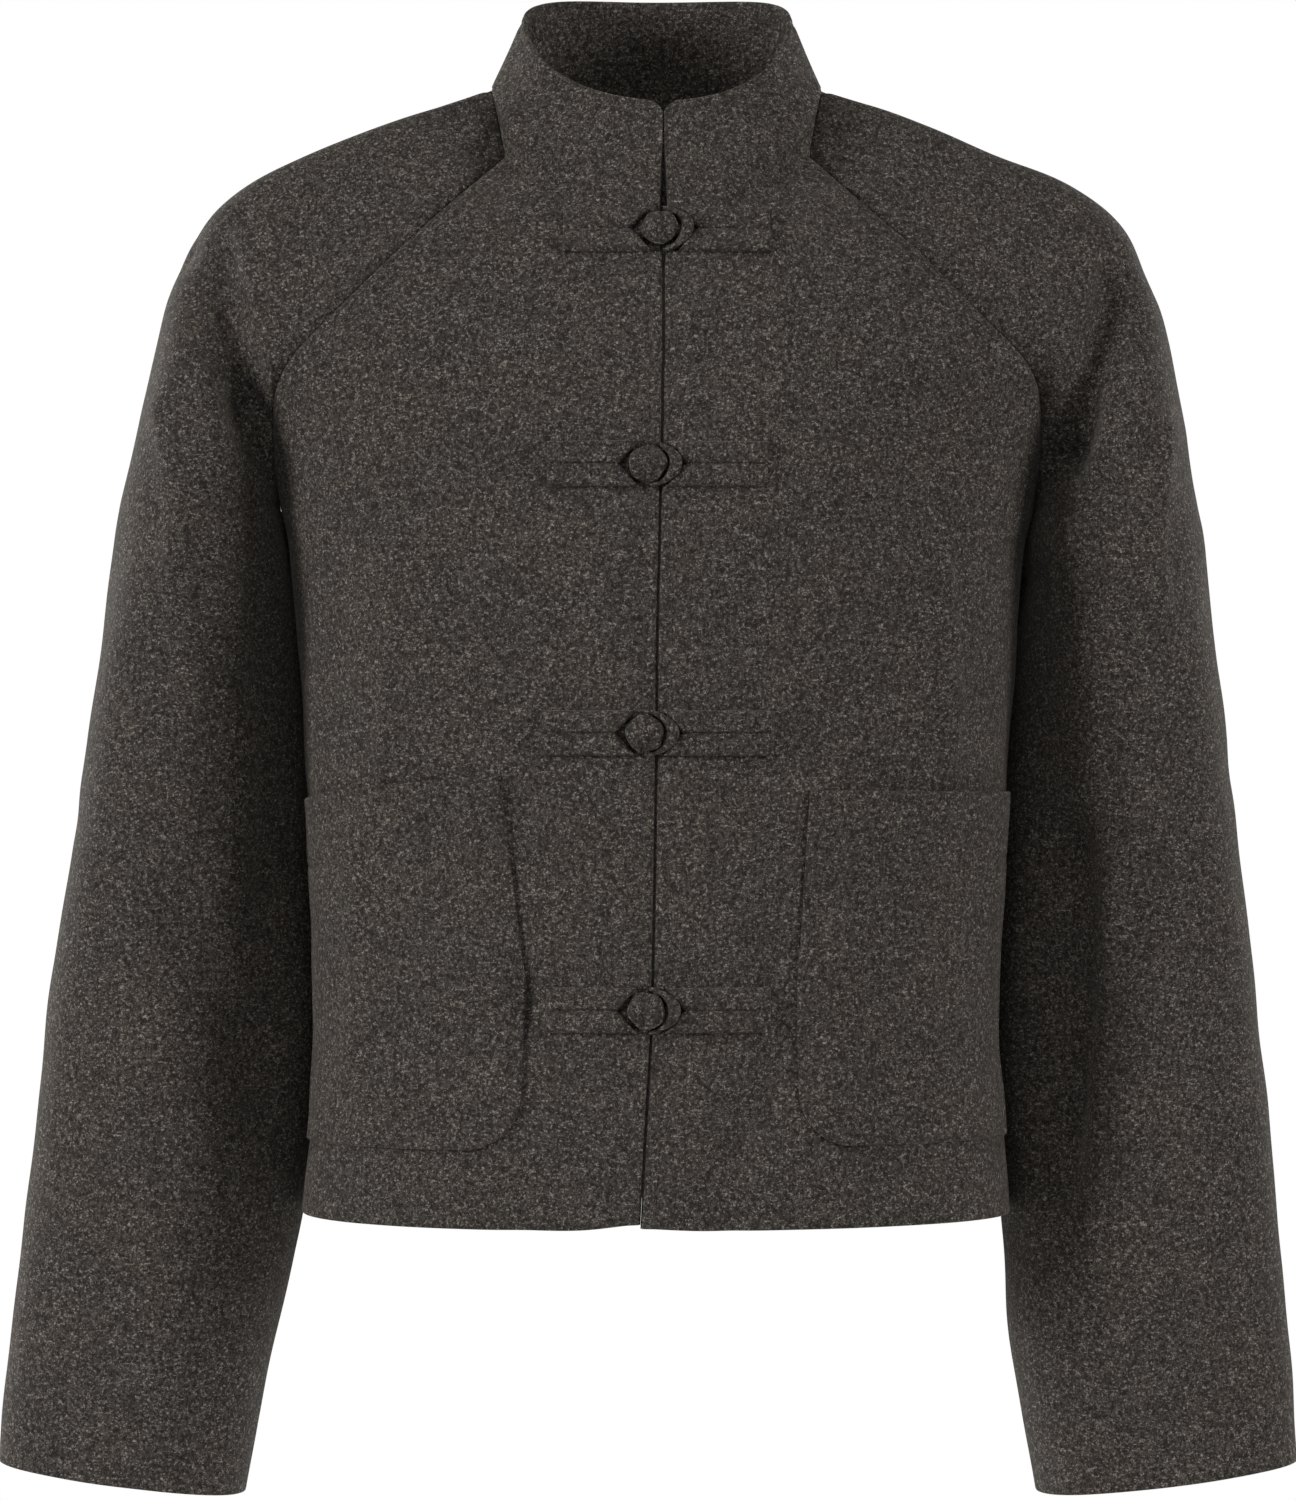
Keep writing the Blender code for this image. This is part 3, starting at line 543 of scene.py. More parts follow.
class Panel:
    """A cut piece laid out as a grid of points, with its normals and the distance to each side."""

    def __init__(self, cut):
        self.cut = cut
        across, rows = cut.across[None, :], cut.rows[:, None]
        self.points = cut.surface(across, rows)
        self.normals = surface_normals(cut.surface, across, rows, cut.flip)
        step = np.linalg.norm(np.diff(self.points, axis=1), axis=-1)
        first = np.pad(np.cumsum(step, axis=1), ((0, 0), (1, 0)))
        climb = np.linalg.norm(np.diff(self.points, axis=0), axis=-1)
        start = np.pad(np.cumsum(climb, axis=0), ((1, 0), (0, 0)))
        self.away = {"first": first, "last": first[:, -1:] - first, "start": start, "end": start[-1:] - start}

    def border(self):
        """The points and normals of all four sides."""
        points = np.concatenate([self.points[place] for place in SIDES.values()])
        normals = np.concatenate([self.normals[place] for place in SIDES.values()])
        return points, normals

    def lean_to_seams(self, borders):
        """Turns the normals by each seam to the ones that the neighbours share."""
        shared = {side: self.shared(side, borders) for side in self.cut.sewn}
        for side, wanted in shared.items():
            place = SIDES[side]
            turn = wanted - self.normals[place]
            spread = smooth(1 - self.away[side] / SEAM_SPREAD)[..., None]
            turn = turn[None, :] if side == "start" else turn[:, None]
            self.normals = unit(self.normals + turn * spread)

    def shared(self, side, borders):
        """The mean normal of the pieces that meet at each point of a side."""
        found = []
        for point, normal in zip(self.points[SIDES[side]], self.normals[SIDES[side]]):
            total = normal.copy()
            for name, (tree, normals) in borders.items():
                _, number, distance = tree.find(point)
                if name != self.cut.name and distance < SEAM_REACH:
                    total += normals[number]
            found.append(DOWN if np.linalg.norm(total) < CREASE_LIMIT else total)
        return unit(np.array(found))

    def walls(self, cloth):
        """The outer and inner points of the cloth, with its creases, seam valleys and rounded edges."""
        wall, valley = cloth.wall / MM, cloth.seam_valley / MM
        fade = np.ones(self.points.shape[:2])
        dip = np.zeros(fade.shape)
        for side in self.cut.sewn:
            fade *= smooth(self.away[side] / SEAM_FADE)
            dip -= valley * self.open_part(side) * np.exp(-((self.away[side] / SEAM_VALLEY) ** 2))
        lift = crease_height(self.cut.creases, self.points) * fade + ripple_height(self.points) + dip
        lift += self.sewn_edge(cloth)
        round_off = np.zeros(fade.shape)
        for side in SIDES:
            nose = wall / 2 * (self.open_part(side) if side in self.cut.sewn else NOSE)
            round_off = np.maximum(round_off, rounded(self.away[side], wall / 2, nose))
        points = self.drawn_in()
        outer = points + self.normals * (lift - round_off)[..., None]
        inner = points + self.normals * (lift - wall + round_off)[..., None]
        return outer, inner

    def open_part(self, side):
        """How far a seam shows as a valley: fully on the raglan, hardly under the arm and down the side."""
        if side == "start":
            return SEAM_NOSE
        hidden = self.cut.rows < UNDERARM
        if self.cut.name.startswith("sleeve"):
            hidden = (self.cut.rows > NOTCH - UNDERARM) & (side != "last")
        return np.where(hidden, HIDDEN_NOSE, SEAM_NOSE)[:, None]

    def sewn_edge(self, cloth):
        """The turned edges of the collar's rim and the front, sewn down along a shallow trough."""
        if self.cut.name.startswith("sleeve"):
            return 0.0
        edges = ["end"] if self.cut.name == "back" else ["end", "first"]
        lift = 0.0
        for side in edges:
            trough = (self.away[side] - cloth.edge_sewing / MM) / EDGE_SEW_WIDTH
            lift = lift - cloth.sewing_dent / MM * np.exp(-(trough**2))
        if "first" in edges:
            lift = lift - cloth.front_roll / MM * np.exp(-((self.away["first"] / FRONT_ROLL_WIDTH) ** 2))
        return lift

    def drawn_in(self):
        """The grid with its sewn sides drawn in by half of the seam gap."""
        points = self.points.copy()
        if "first" in self.cut.sewn:
            points[:, 0] += SEAM_GAP / 2 * unit(self.points[:, 2] - self.points[:, 0])
        if "last" in self.cut.sewn:
            points[:, -1] += SEAM_GAP / 2 * unit(self.points[:, -3] - self.points[:, -1])
        if "start" in self.cut.sewn:
            points[0] += SEAM_GAP / 2 * unit(self.points[2] - self.points[0])
        return points

    def line_inside(self, side, distance, lifted):
        """Points and normals along a side, at a distance from it."""
        grids = (lifted, self.normals)
        away = self.away[side]
        if side in ("start", "end"):
            away = away.T
            grids = [grid.swapaxes(0, 1) for grid in grids]
        found = []
        for grid in grids:
            rows = []
            for line, values in zip(away, grid):
                order = np.argsort(line)
                rows.append([np.interp(distance, line[order], values[order, axis]) for axis in range(3)])
            found.append(np.array(rows))
        return found


def jacket_panels():
    """All panels, with the normals settled at their seams."""
    panels = [Panel(cut) for cut in cuts()]
    borders = {}
    for panel in panels:
        points, normals = panel.border()
        tree = kdtree.KDTree(len(points))
        for number, point in enumerate(points):
            tree.insert(point, number)
        tree.balance()
        borders[panel.cut.name] = tree, normals
    for panel in panels:
        panel.lean_to_seams(borders)
    return panels


def front_laid(side, across, row):
    """Points and normals on a finished front."""
    points = front_point(side, across, row)
    normals = surface_normals(partial(front_point, side), across, row, side)
    lift = crease_height(FRONT_CREASES, points) + ripple_height(points)
    return points + normals * lift[..., None], normals


def front_spot(side, x, z):
    """Points and normals on a finished front under the given places in the front view."""
    x, z = np.broadcast_arrays(np.asarray(x, float), np.asarray(z, float))
    across = np.full(x.shape, 0.3)
    for _ in range(SPOT_ROUNDS):
        row = solved(lambda r: front_point(side, across, r)[..., 2], z, 0, RIM)
        across = solved(lambda a: side * front_point(side, a, row)[..., 0], side * x, 0, 1)
    return front_laid(side, across, row)


def wall_mesh(name, outer, inner):
    """A closed thin wall between two grids of points."""
    rows, steps = outer.shape[:2]
    shape = bmesh.new()
    bmesh.ops.create_grid(shape, x_segments=steps - 1, y_segments=rows - 1, size=0.5)
    made = bmesh.ops.extrude_face_region(shape, geom=shape.faces[:], use_keep_orig=True)
    lifted = {item for item in made["geom"] if isinstance(item, bmesh.types.BMVert)}
    for vertex in shape.verts:
        row = round((vertex.co.y + 0.5) * (rows - 1))
        step = round((vertex.co.x + 0.5) * (steps - 1))
        grid = outer if vertex in lifted else inner
        vertex.co = grid[row, step] * MM
    bmesh.ops.recalc_face_normals(shape, faces=shape.faces[:])
    return finished_mesh(name, shape)


def finished_mesh(name, shape):
    """A smooth-shaded mesh from a shape, which is freed."""
    mesh = bpy.data.meshes.new(name)
    shape.to_mesh(mesh)
    shape.free()
    mesh.shade_smooth()
    return mesh


def pocket_grid(pocket):
    """Points, normals and the lift of a patch pocket, and its distance from each edge."""
    width = pocket_width(pocket)
    part = lines_across(width)[None, :]
    height = pocket.mouth_inner_z - pocket.foot_z
    climb = lines_across(height)[:, None]
    mouth_z = pocket.mouth_inner_z + (pocket.mouth_outer_z - pocket.mouth_inner_z) * part
    z = pocket.foot_z + (mouth_z - pocket.foot_z) * climb
    row = solved(lambda r: along(column(FRONT, "centre_z"), r), z, 0, UNDERARM)
    left = POCKET_CORNER - np.clip(z[:, :1] - pocket.foot_z, 0, POCKET_CORNER)
    rounding = POCKET_CORNER - np.sqrt(POCKET_CORNER**2 - left**2)
    places = (pocket.foot_x, pocket.middle_x, pocket.mouth_x)
    inner_x = np.broadcast_to(np.interp(climb, (0, POCKET_MIDDLE, 1), places) + rounding, z.shape)
    inner = solved(lambda a: pocket.side * front_point(pocket.side, a, row)[..., 0], inner_x, 0, 1)
    across = inner + (POCKET_OUTER_TURN - inner) * part
    points, normals = front_laid(pocket.side, across, row)
    down = mouth_z - z
    open_part = np.clip(1 - down / POCKET_GAPE_DEPTH, 0, 1) ** 2
    lift = POCKET_LAY + POCKET_GAPE * np.sin(math.pi * part) * open_part
    step = np.linalg.norm(np.diff(points, axis=1), axis=-1)
    first = np.pad(np.cumsum(step, axis=1), ((0, 0), (1, 0)))
    rise = np.linalg.norm(np.diff(points, axis=0), axis=-1)
    start = np.pad(np.cumsum(rise, axis=0), ((1, 0), (0, 0)))
    away = {"first": first, "last": first[:, -1:] - first, "start": start, "end": start[-1:] - start}
    return points, normals, lift, away


def pocket_width(pocket):
    """About how wide a pocket lies, round the curve of its front."""
    edge, _ = front_laid(pocket.side, np.array([POCKET_OUTER_TURN]), np.array([POCKET_ROW]))
    return abs(edge[0, 0]) - pocket.middle_x + POCKET_BEND


def pocket_walls(pocket, cloth):
    """The outer and inner points of a pocket, dented where it is sewn."""
    points, normals, lift, away = pocket_grid(pocket)
    nearest = np.minimum.reduce(list(away.values()))
    round_off = rounded(nearest, POCKET_WALL / 2, NOSE * POCKET_WALL / 2)
    sewn = np.minimum.reduce([away["first"], away["last"], away["start"]])
    dent = np.exp(-(((sewn - POCKET_SEW) / POCKET_SEW_WIDTH) ** 2))
    facing = np.exp(-(((away["end"] - POCKET_FACING) / POCKET_FACING_WIDTH) ** 2))
    dent = np.maximum(dent, POCKET_FACING_SHARE * facing) * cloth.sewing_dent / MM
    outer = points + normals * (lift + POCKET_WALL - round_off - dent)[..., None]
    inner = points + normals * (lift + round_off)[..., None]
    return outer, inner, normals, away


def pocket_lines(outer, normals, away):
    """The sewing of a pocket: round its sides and foot, along its facing, and slanting at its corners."""
    mouth = np.argmin(np.abs(away["end"][:, 0] - POCKET_FACING))
    first = np.argmin(np.abs(away["first"][-1] - POCKET_SEW))
    last = np.argmin(np.abs(away["last"][-1] - POCKET_SEW))
    foot = np.argmin(np.abs(away["start"][:, SEW_MIDDLE] - POCKET_SEW))
    sides = [
        np.s_[foot:-SEW_FROM_MOUTH, first],
        np.s_[foot:-SEW_FROM_MOUTH, last],
        np.s_[foot, first : last + 1],
        np.s_[mouth, SEW_FROM_SIDE:-SEW_FROM_SIDE],
    ]
    lines = [(outer[place], normals[place]) for place in sides]
    rows = np.arange(mouth, len(outer) - SEW_FROM_MOUTH)
    wanted = np.linspace(POCKET_SEW, POCKET_CORNER_SEW, len(rows))
    for side, way in (("first", 1), ("last", -1)):
        slanted = []
        for grid in (outer, normals):
            found = [at_length(at, away[side][row, ::way], grid[row, ::way]) for row, at in zip(rows, wanted)]
            slanted.append(np.array(found))
        lines.append(tuple(slanted))
    return lines


def strip_walls(frog, side):
    """The outer and inner points of a frog's two folded strips, their normals and how far the end is."""
    half = lines_across(FROG_HEIGHT * FROG_ROWS) / 2
    height = np.concatenate([half, half[1:] + 0.5])[:, None] - 0.5
    rise = height * FROG_HEIGHT
    end = frog.left_end if side < 0 else frog.right_end
    notch = NOTCH_LEFT if side < 0 else NOTCH_RIGHT
    start_x = frog.knot_x + side * np.maximum(notch - NOTCH_SLOPE * np.abs(rise), NOTCH_LEAST)
    part = lines_across(FROG_STEPS * abs(end - frog.knot_x))[None, :]
    x = start_x + (end - start_x) * part
    points, normals = front_spot(side, x, frog.z + rise)
    hump = np.sqrt(np.clip(1 - (np.abs(height) * 4 - 1) ** FROG_SQUARE, 0, 1))
    hump = np.where(np.abs(height) < 0.25, np.maximum(hump, FROG_VALLEY), hump)
    from_end, from_start = np.abs(end - x), np.abs(x - start_x)
    nearest = np.clip(np.minimum(from_end, from_start) / FROG_ROUND, 0, 1)
    dent = FROG_DENT * np.exp(-((from_end - FROG_BOX) ** 2))
    round_off = np.sqrt(1 - (1 - nearest) ** 2)
    thick = FROG_EDGE_THICK + (FROG_THICK - FROG_EDGE_THICK - dent) * hump * round_off
    under = points + normals * LAY_GAP
    return under + normals * thick[..., None], under, normals, from_end


def strip_lines(outer, normals, from_end):
    """The box that is sewn at the outer end of a frog's strips."""
    inside = np.argmin(np.abs(from_end[0] - FROG_BOX))
    outside = np.argmin(np.abs(from_end[0] - FROG_ROUND))
    low = len(outer) // FROG_BOX_PART
    high = len(outer) - 1 - low
    sides = [np.s_[low:high, inside], np.s_[low, inside:outside], np.s_[high, inside:outside]]
    return [(outer[place], normals[place]) for place in sides]


def loop_mesh(name, frog):
    """The cloth loop that goes round the right of a knot: a bent tube that swells to a blunt point."""
    turns = np.radians(np.linspace(LOOP_TURN, -LOOP_TURN, LOOP_STEPS))
    middle, facing = knot_plane(frog)
    shape = bmesh.new()
    bmesh.ops.create_grid(shape, x_segments=LOOP_STEPS - 1, y_segments=LOOP_SIDES, size=0.5)
    for vertex in shape.verts:
        step = round((vertex.co.x + 0.5) * (LOOP_STEPS - 1))
        ring = (vertex.co.y + 0.5) * math.tau
        swell = math.cos(turns[step]) ** LOOP_SWELL
        radius = LOOP_RADIUS * (LOOP_END + (1 - LOOP_END) * swell)
        reach = KNOT_RADIUS + LAY_GAP + radius * (1 + math.cos(ring)) + LOOP_POINT * swell
        x, rise = reach * math.cos(turns[step]), reach * math.sin(turns[step])
        lift = LAY_GAP + radius * LOOP_HEIGHT * (1 + math.sin(ring))
        base = middle + np.array([x, -rise * facing[2] / facing[1], rise])
        vertex.co = (base + facing * lift) * MM
    bmesh.ops.remove_doubles(shape, verts=shape.verts[:], dist=LOOP_MERGE * MM)
    bmesh.ops.holes_fill(shape, edges=shape.edges[:])
    bmesh.ops.recalc_face_normals(shape, faces=shape.faces[:])
    return finished_mesh(name, shape)


def knot_plane(frog):
    """The middle of a knot's seat on the fronts, and the way that it faces."""
    spots, normals = front_spot(1, np.array([frog.knot_x + KNOT_RADIUS / 2]), np.array([frog.z]))
    facing = unit(np.array([0.0, normals[0, 1], normals[0, 2]]))
    return np.array([frog.knot_x, spots[0, 1], spots[0, 2]]), facing


def fold_depth(arc, u, v):
    """How deep a fold of a knot is at a place on it, from 0 to 1."""
    return math.exp(-(((math.hypot(u - arc.x, v - arc.y) - arc.radius) / FOLD_WIDTH) ** 2))


def knot_mesh(name, frog):
    """A flattened ball of knotted strip, with the strip's folds curving over it."""
    middle, facing = knot_plane(frog)
    up = unit(np.cross(facing, (-1.0, 0.0, 0.0)))
    shape = bmesh.new()
    bmesh.ops.create_uvsphere(shape, u_segments=KNOT_STEPS, v_segments=KNOT_RINGS, radius=1.0)
    for vertex in shape.verts:
        u, v, height = vertex.co
        groove = max(fold_depth(arc, u, v) for arc in KNOT_ARCS)
        groove *= smooth((height + FOLD_START) / FOLD_RISE)
        if height > 0:
            height = height ** (1 + KNOT_SLACK * v * v / max(u * u + v * v, 1e-9))
        raised = (max(height, KNOT_FLAT) - KNOT_FLAT) / (1 - KNOT_FLAT) * KNOT_THICK - KNOT_FOLD * groove
        around = math.atan2(v, u)
        drawn_in = 0.0
        for wave in KNOT_DRAWN_IN:
            drawn_in += wave.share * (1 + math.cos(wave.times * (around - wave.turn * frog.number))) / 2
        shrink = KNOT_RADIUS * (1 - FOLD_DRAW * groove - drawn_in)
        spot = middle + np.array([1.0, 0, 0]) * u * shrink + up * v * shrink
        vertex.co = (spot + facing * (KNOT_SEAT + max(raised, 0))) * MM
    bmesh.ops.remove_doubles(shape, verts=shape.verts[:], dist=KNOT_MERGE * MM)
    bmesh.ops.recalc_face_normals(shape, faces=shape.faces[:])
    return finished_mesh(name, shape)


def stitches_mesh(name, lines, sewing):
    """Short rounded threads laid end to end along lines of points and normals."""
    length, space, thick = sewing.length / MM, sewing.space / MM, sewing.thread / MM
    shape = bmesh.new()
    for points, normals in lines:
        run = np.pad(np.cumsum(np.linalg.norm(np.diff(points, axis=0), axis=1)), (1, 0))
        starts = np.arange(space, run[-1] - length, length + space)
        for start in starts:
            head = at_length(start, run, points)
            tail = at_length(start + length, run, points)
            normal = unit(at_length(start, run, normals))
            way = unit(tail - head)
            across = np.cross(normal, way)
            frame = np.eye(4)
            frame[:3, 0] = way * length / 2
            frame[:3, 1] = across * thick / 2
            frame[:3, 2] = np.cross(way, across) * thick / 2
            frame[:3, 3] = (head + tail) / 2
            frame[:3] *= MM
            place = Matrix(frame.tolist())
            bmesh.ops.create_uvsphere(shape, u_segments=6, v_segments=5, radius=1.0, matrix=place)
    bmesh.ops.recalc_face_normals(shape, faces=shape.faces[:])
    return finished_mesh(name, shape)


class Value:
    """A socket of a finish, with the arithmetic that its shader maths needs."""

    def __init__(self, finish, socket):
        self.finish = finish
        self.socket = socket

    def combine(self, operation, first, second):
        return self.finish.node("ShaderNodeMath", {"operation": operation}, {0: first, 1: second})

    def __add__(self, other):
        return self.combine("ADD", self, other)

    def __radd__(self, other):
        return self.combine("ADD", other, self)

    def __sub__(self, other):
        return self.combine("SUBTRACT", self, other)

    def __rsub__(self, other):
        return self.combine("SUBTRACT", other, self)

    def __mul__(self, other):
        return self.combine("MULTIPLY", self, other)

    def __rmul__(self, other):
        return self.combine("MULTIPLY", other, self)


class Finish:
    """A material whose nodes are added one by one."""

    def __init__(self, name):
        self.material = bpy.data.materials.new(name)
        self.material.use_nodes = True
        self.tree = self.material.node_tree
        self.shader = self.tree.nodes["Principled BSDF"]

    def node(self, kind, settings, sockets, output=0):
        """A node of a kind, with its settings, then its sockets' values or links."""
        made = self.tree.nodes.new(kind)
        for name, value in settings.items():
            setattr(made, name, value)
        for name, value in sockets.items():
            self.feed(made.inputs[name], value)
        return Value(self, made.outputs[output])

    def feed(self, socket, value):
        """Links a value to a socket, or sets a plain one on it."""
        if isinstance(value, Value):
            self.tree.links.new(value.socket, socket)
        else:
            socket.default_value = value

    def millimetres(self, stretch=(1, 1, 1), turn=(0, 0, 0)):
        """Object coordinates in millimetres, turned and stretched."""
        place = self.node("ShaderNodeTexCoord", {}, {}, "Object")
        scale = tuple(1 / MM / part for part in stretch)
        return self.node("ShaderNodeMapping", {}, {"Vector": place, "Rotation": turn, "Scale": scale})

    def noise(self, place, scale, detail, roughness, distortion=0.0):
        """Soft noise, with scale in waves to the millimetre."""
        sockets = {
            "Vector": place,
            "Scale": scale,
            "Detail": detail,
            "Roughness": roughness,
            "Distortion": distortion,
        }
        return self.node("ShaderNodeTexNoise", {}, sockets)

    def ramp(self, value, low, high):
        """A value spread from 0 at low to 1 at high, and held there."""
        sockets = {"Value": value, "From Min": low, "From Max": high}
        return self.node("ShaderNodeMapRange", {"interpolation_type": "SMOOTHSTEP"}, sockets)

    def mix(self, part, first, second, blend="MIX"):
        """Two colours mixed."""
        sockets = {0: part, 6: first, 7: second}
        return self.node("ShaderNodeMix", {"data_type": "RGBA", "blend_type": blend}, sockets, 2)


def opaque(colour):
    """A colour with a full alpha."""
    return tuple(colour) + (1.0,)


def wool_finish(name, wool):
    """Brushed melange wool: dark felted ground, paler tufts, the palest flecks on top, and fibres."""
    finish = Finish(name)
    place = finish.millimetres((1, 1.6, 1))
    cloud = finish.noise(place, 0.03, 2.0, 0.5)
    tuft = finish.noise(place, 0.50, 3.0, 0.6, 0.6)
    fleck = finish.noise(place, 0.95, 2.0, 0.55, 1.0)
    fibre = finish.noise(finish.millimetres((0.8, 3.2, 2.6), (0.4, 0.7, 0.9)), 1.0, 2.0, 0.5, 0.8)
    crossing = finish.noise(finish.millimetres((2.8, 3.0, 0.8), (0.9, 0.2, 0.5)), 1.0, 2.0, 0.5, 0.8)
    ground = tuft * 0.5 + fleck * 0.3 + fibre * 0.2
    colour = finish.mix(finish.ramp(ground, 0.40, 0.60), opaque(wool.dark), opaque(wool.middle))
    flecks = finish.ramp(fleck * 0.55 + crossing * 0.25 + tuft * 0.2, 0.52, 0.66)
    colour = finish.mix(flecks * wool.fleck_share, colour, opaque(wool.pale))
    cast = finish.mix(finish.ramp(cloud, 0.35, 0.65), opaque(wool.cool), opaque(wool.warm))
    colour = finish.mix(1.0, colour, cast, "MULTIPLY")
    nap = tuft * 0.45 + fleck * 0.35 + fibre * 0.12 + crossing * 0.12
    relief = {"Strength": wool.nap, "Distance": wool.nap_depth, "Height": nap}
    bump = finish.node("ShaderNodeBump", {}, relief)
    finish.feed(finish.shader.inputs["Base Color"], colour)
    finish.feed(finish.shader.inputs["Roughness"], 0.84 + tuft * 0.14)
    finish.feed(finish.shader.inputs["Normal"], bump)
    finish.shader.inputs["Specular IOR Level"].default_value = 0.18
    finish.shader.inputs["Sheen Weight"].default_value = wool.sheen
    finish.shader.inputs["Sheen Roughness"].default_value = 0.45
    finish.shader.inputs["Sheen Tint"].default_value = opaque(wool.sheen_colour)
    return finish.material


def thread_finish(name, sewing):
    """Spun thread, with a fine twist along it."""
    finish = Finish(name)
    twist = finish.noise(finish.millimetres((0.5, 0.5, 0.5)), 1.6, 2.0, 0.6)
    darker = opaque(part * 0.7 for part in sewing.colour)
    paler = opaque(part * 1.3 for part in sewing.colour)
    colour = finish.mix(finish.ramp(twist, 0.3, 0.7), darker, paler)
    finish.feed(finish.shader.inputs["Base Color"], colour)
    finish.feed(finish.shader.inputs["Roughness"], 0.6 + twist * 0.2)
    bump = finish.node("ShaderNodeBump", {}, {"Strength": 0.3, "Distance": 0.1 * MM, "Height": twist})
    finish.feed(finish.shader.inputs["Normal"], bump)
    return finish.material


def placed(mesh, material, *nodes):
    """A finished piece of the jacket, which stands for the solids that it names."""
    mesh.materials.append(material)
    piece = bpy.data.objects.new(mesh.name, mesh)
    bpy.context.scene.collection.objects.link(piece)
    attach(piece, BODY)
    if nodes:
        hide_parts(*nodes)
    return piece


def length_setting(name, description, millimetres, most=50.0):
    """A length that a user may change, given in millimetres."""
    return bpy.props.FloatProperty(
        name=name,
        description=description,
        default=millimetres * MM,
        min=0.0,
        max=most * MM,
        precision=5,
        subtype="DISTANCE",
        unit="LENGTH",
    )


def colour_setting(name, description, value):
    """A colour that a user may change."""
    return bpy.props.FloatVectorProperty(
        name=name, description=description, default=value, min=0.0, max=2.0, size=3, subtype="COLOR"
    )


def share_setting(name, description, value):
    """A share from 0 to 1 that a user may change."""
    return bpy.props.FloatProperty(
        name=name, description=description, default=value, min=0.0, max=1.0, subtype="FACTOR"
    )


class JacketCloth(bpy.types.PropertyGroup):
    """Sizes of the cloth and its seams."""

    wall: length_setting("Wall", "Thickness of the cloth", 2.4)
    seam_valley: length_setting("Seam valley", "How far the cloth dips at a seam", 1.9)
    edge_sewing: length_setting("Edge sewing", "From the front edge and the collar's rim to the sewing", 6.5)
    front_roll: length_setting("Front roll", "How far the front edges roll in where they meet", 2.8)
    sewing_dent: length_setting("Sewing dent", "How far sewing pulls the cloth in", 0.7)


class JacketWool(bpy.types.PropertyGroup):
    """Colours and nap of the wool."""

    dark: colour_setting("Ground", "Dark felted ground", (0.013, 0.0112, 0.0098))
    middle: colour_setting("Tufts", "Paler tufts", (0.058, 0.0497, 0.0425))
    pale: colour_setting("Flecks", "Palest flecks", (0.300, 0.270, 0.241))
    cool: colour_setting("Cool cast", "Cast of the cooler patches", (0.95, 0.96, 0.97))
    warm: colour_setting("Warm cast", "Cast of the warmer patches", (1.05, 1.03, 1.01))
    sheen_colour: colour_setting("Sheen colour", "Colour of the nap at a glancing angle", (0.62, 0.56, 0.50))
    fleck_share: share_setting("Fleck share", "How strongly the flecks show", 0.75)
    sheen: share_setting("Sheen", "Weight of the nap's sheen", 0.12)
    nap: share_setting("Nap", "Strength of the nap's relief", 0.55)
    nap_depth: length_setting("Nap depth", "Depth of the nap's relief", 0.5)


class JacketSewing(bpy.types.PropertyGroup):
    """Sizes of the sewing."""

    length: length_setting("Stitch", "Length of a stitch", 2.8)
    space: length_setting("Space", "Space between stitches", 1.0)
    thread: length_setting("Thread", "Thickness of the thread", 0.55)
    colour: colour_setting("Thread colour", "Colour of the thread", (0.030, 0.026, 0.023))


class JacketStage(bpy.types.PropertyGroup):
    """Light, floor and camera."""

    sky: bpy.props.FloatProperty(
        name="Sky", description="Strength of the even white fill", default=0.08, min=0.0
    )
    key: bpy.props.FloatProperty(
        name="Key", description="Watts of a light whose share of the power is 1", default=30.0, min=0.0
    )
    floor_height: bpy.props.FloatProperty(
        name="Floor", description="Height of the floor", default=-0.86, subtype="DISTANCE", unit="LENGTH"
    )
    floor_radius: length_setting("Floor radius", "Half the width of the floor", 1100, 5000)
    lens: bpy.props.FloatProperty(
        name="Lens", description="Focal length in millimetres", default=156.7, min=1.0
    )
    eye: bpy.props.FloatVectorProperty(
        name="Eye",
        description="Where the camera stands",
        default=(-0.0044, -3.2, -0.321),
        subtype="TRANSLATION",
    )


# The flat cut of each kind of piece, in metres, and its area in square metres.
FlatCut = namedtuple("FlatCut", "kind width length area held")
FLAT_CUTS = [
    FlatCut("front", 0.29, 0.62, 0.118, "draped"),
    FlatCut("back", 0.51, 0.62, 0.240, "draped"),
    FlatCut("sleeve_front", 0.25, 0.76, 0.130, "draped"),
    FlatCut("sleeve_back", 0.24, 0.76, 0.116, "draped"),
    FlatCut("pocket", 0.165, 0.18, 0.026, "laid"),
    FlatCut("frog_tab", 0.027, 0.045, 0.00104, "folded"),
    FlatCut("frog_loop", 0.027, 0.052, 0.00118, "folded"),
]


def declare_cloth(piece):
    """Looks up the flat cut of a piece of cloth, which is not used further."""
    cut = next(cut for cut in FLAT_CUTS[::-1] if piece.name.startswith(cut.kind))


# The studio's lights: each one's place, its size in metres and its share of the key power.
LIT_POINT = (0.0, 0.0, -0.3)
StageLight = namedtuple("StageLight", "name place size power")
STAGE_LIGHTS = [
    StageLight("left_light", (-2.55, -1.4, 0.2), 0.9, 2.15),
    StageLight("right_light", (2.55, -1.4, 0.2), 0.9, 1.6),
    StageLight("front_light", (-0.1, -2.1, 1.5), 1.0, 0.42),
    StageLight("top_light", (0.0, -0.9, 2.0), 1.2, 0.3),
    StageLight("left_back_light", (-2.0, 1.9, 0.5), 0.9, 1.3),
    StageLight("right_back_light", (1.9, 2.1, 0.6), 0.9, 0.8),
]


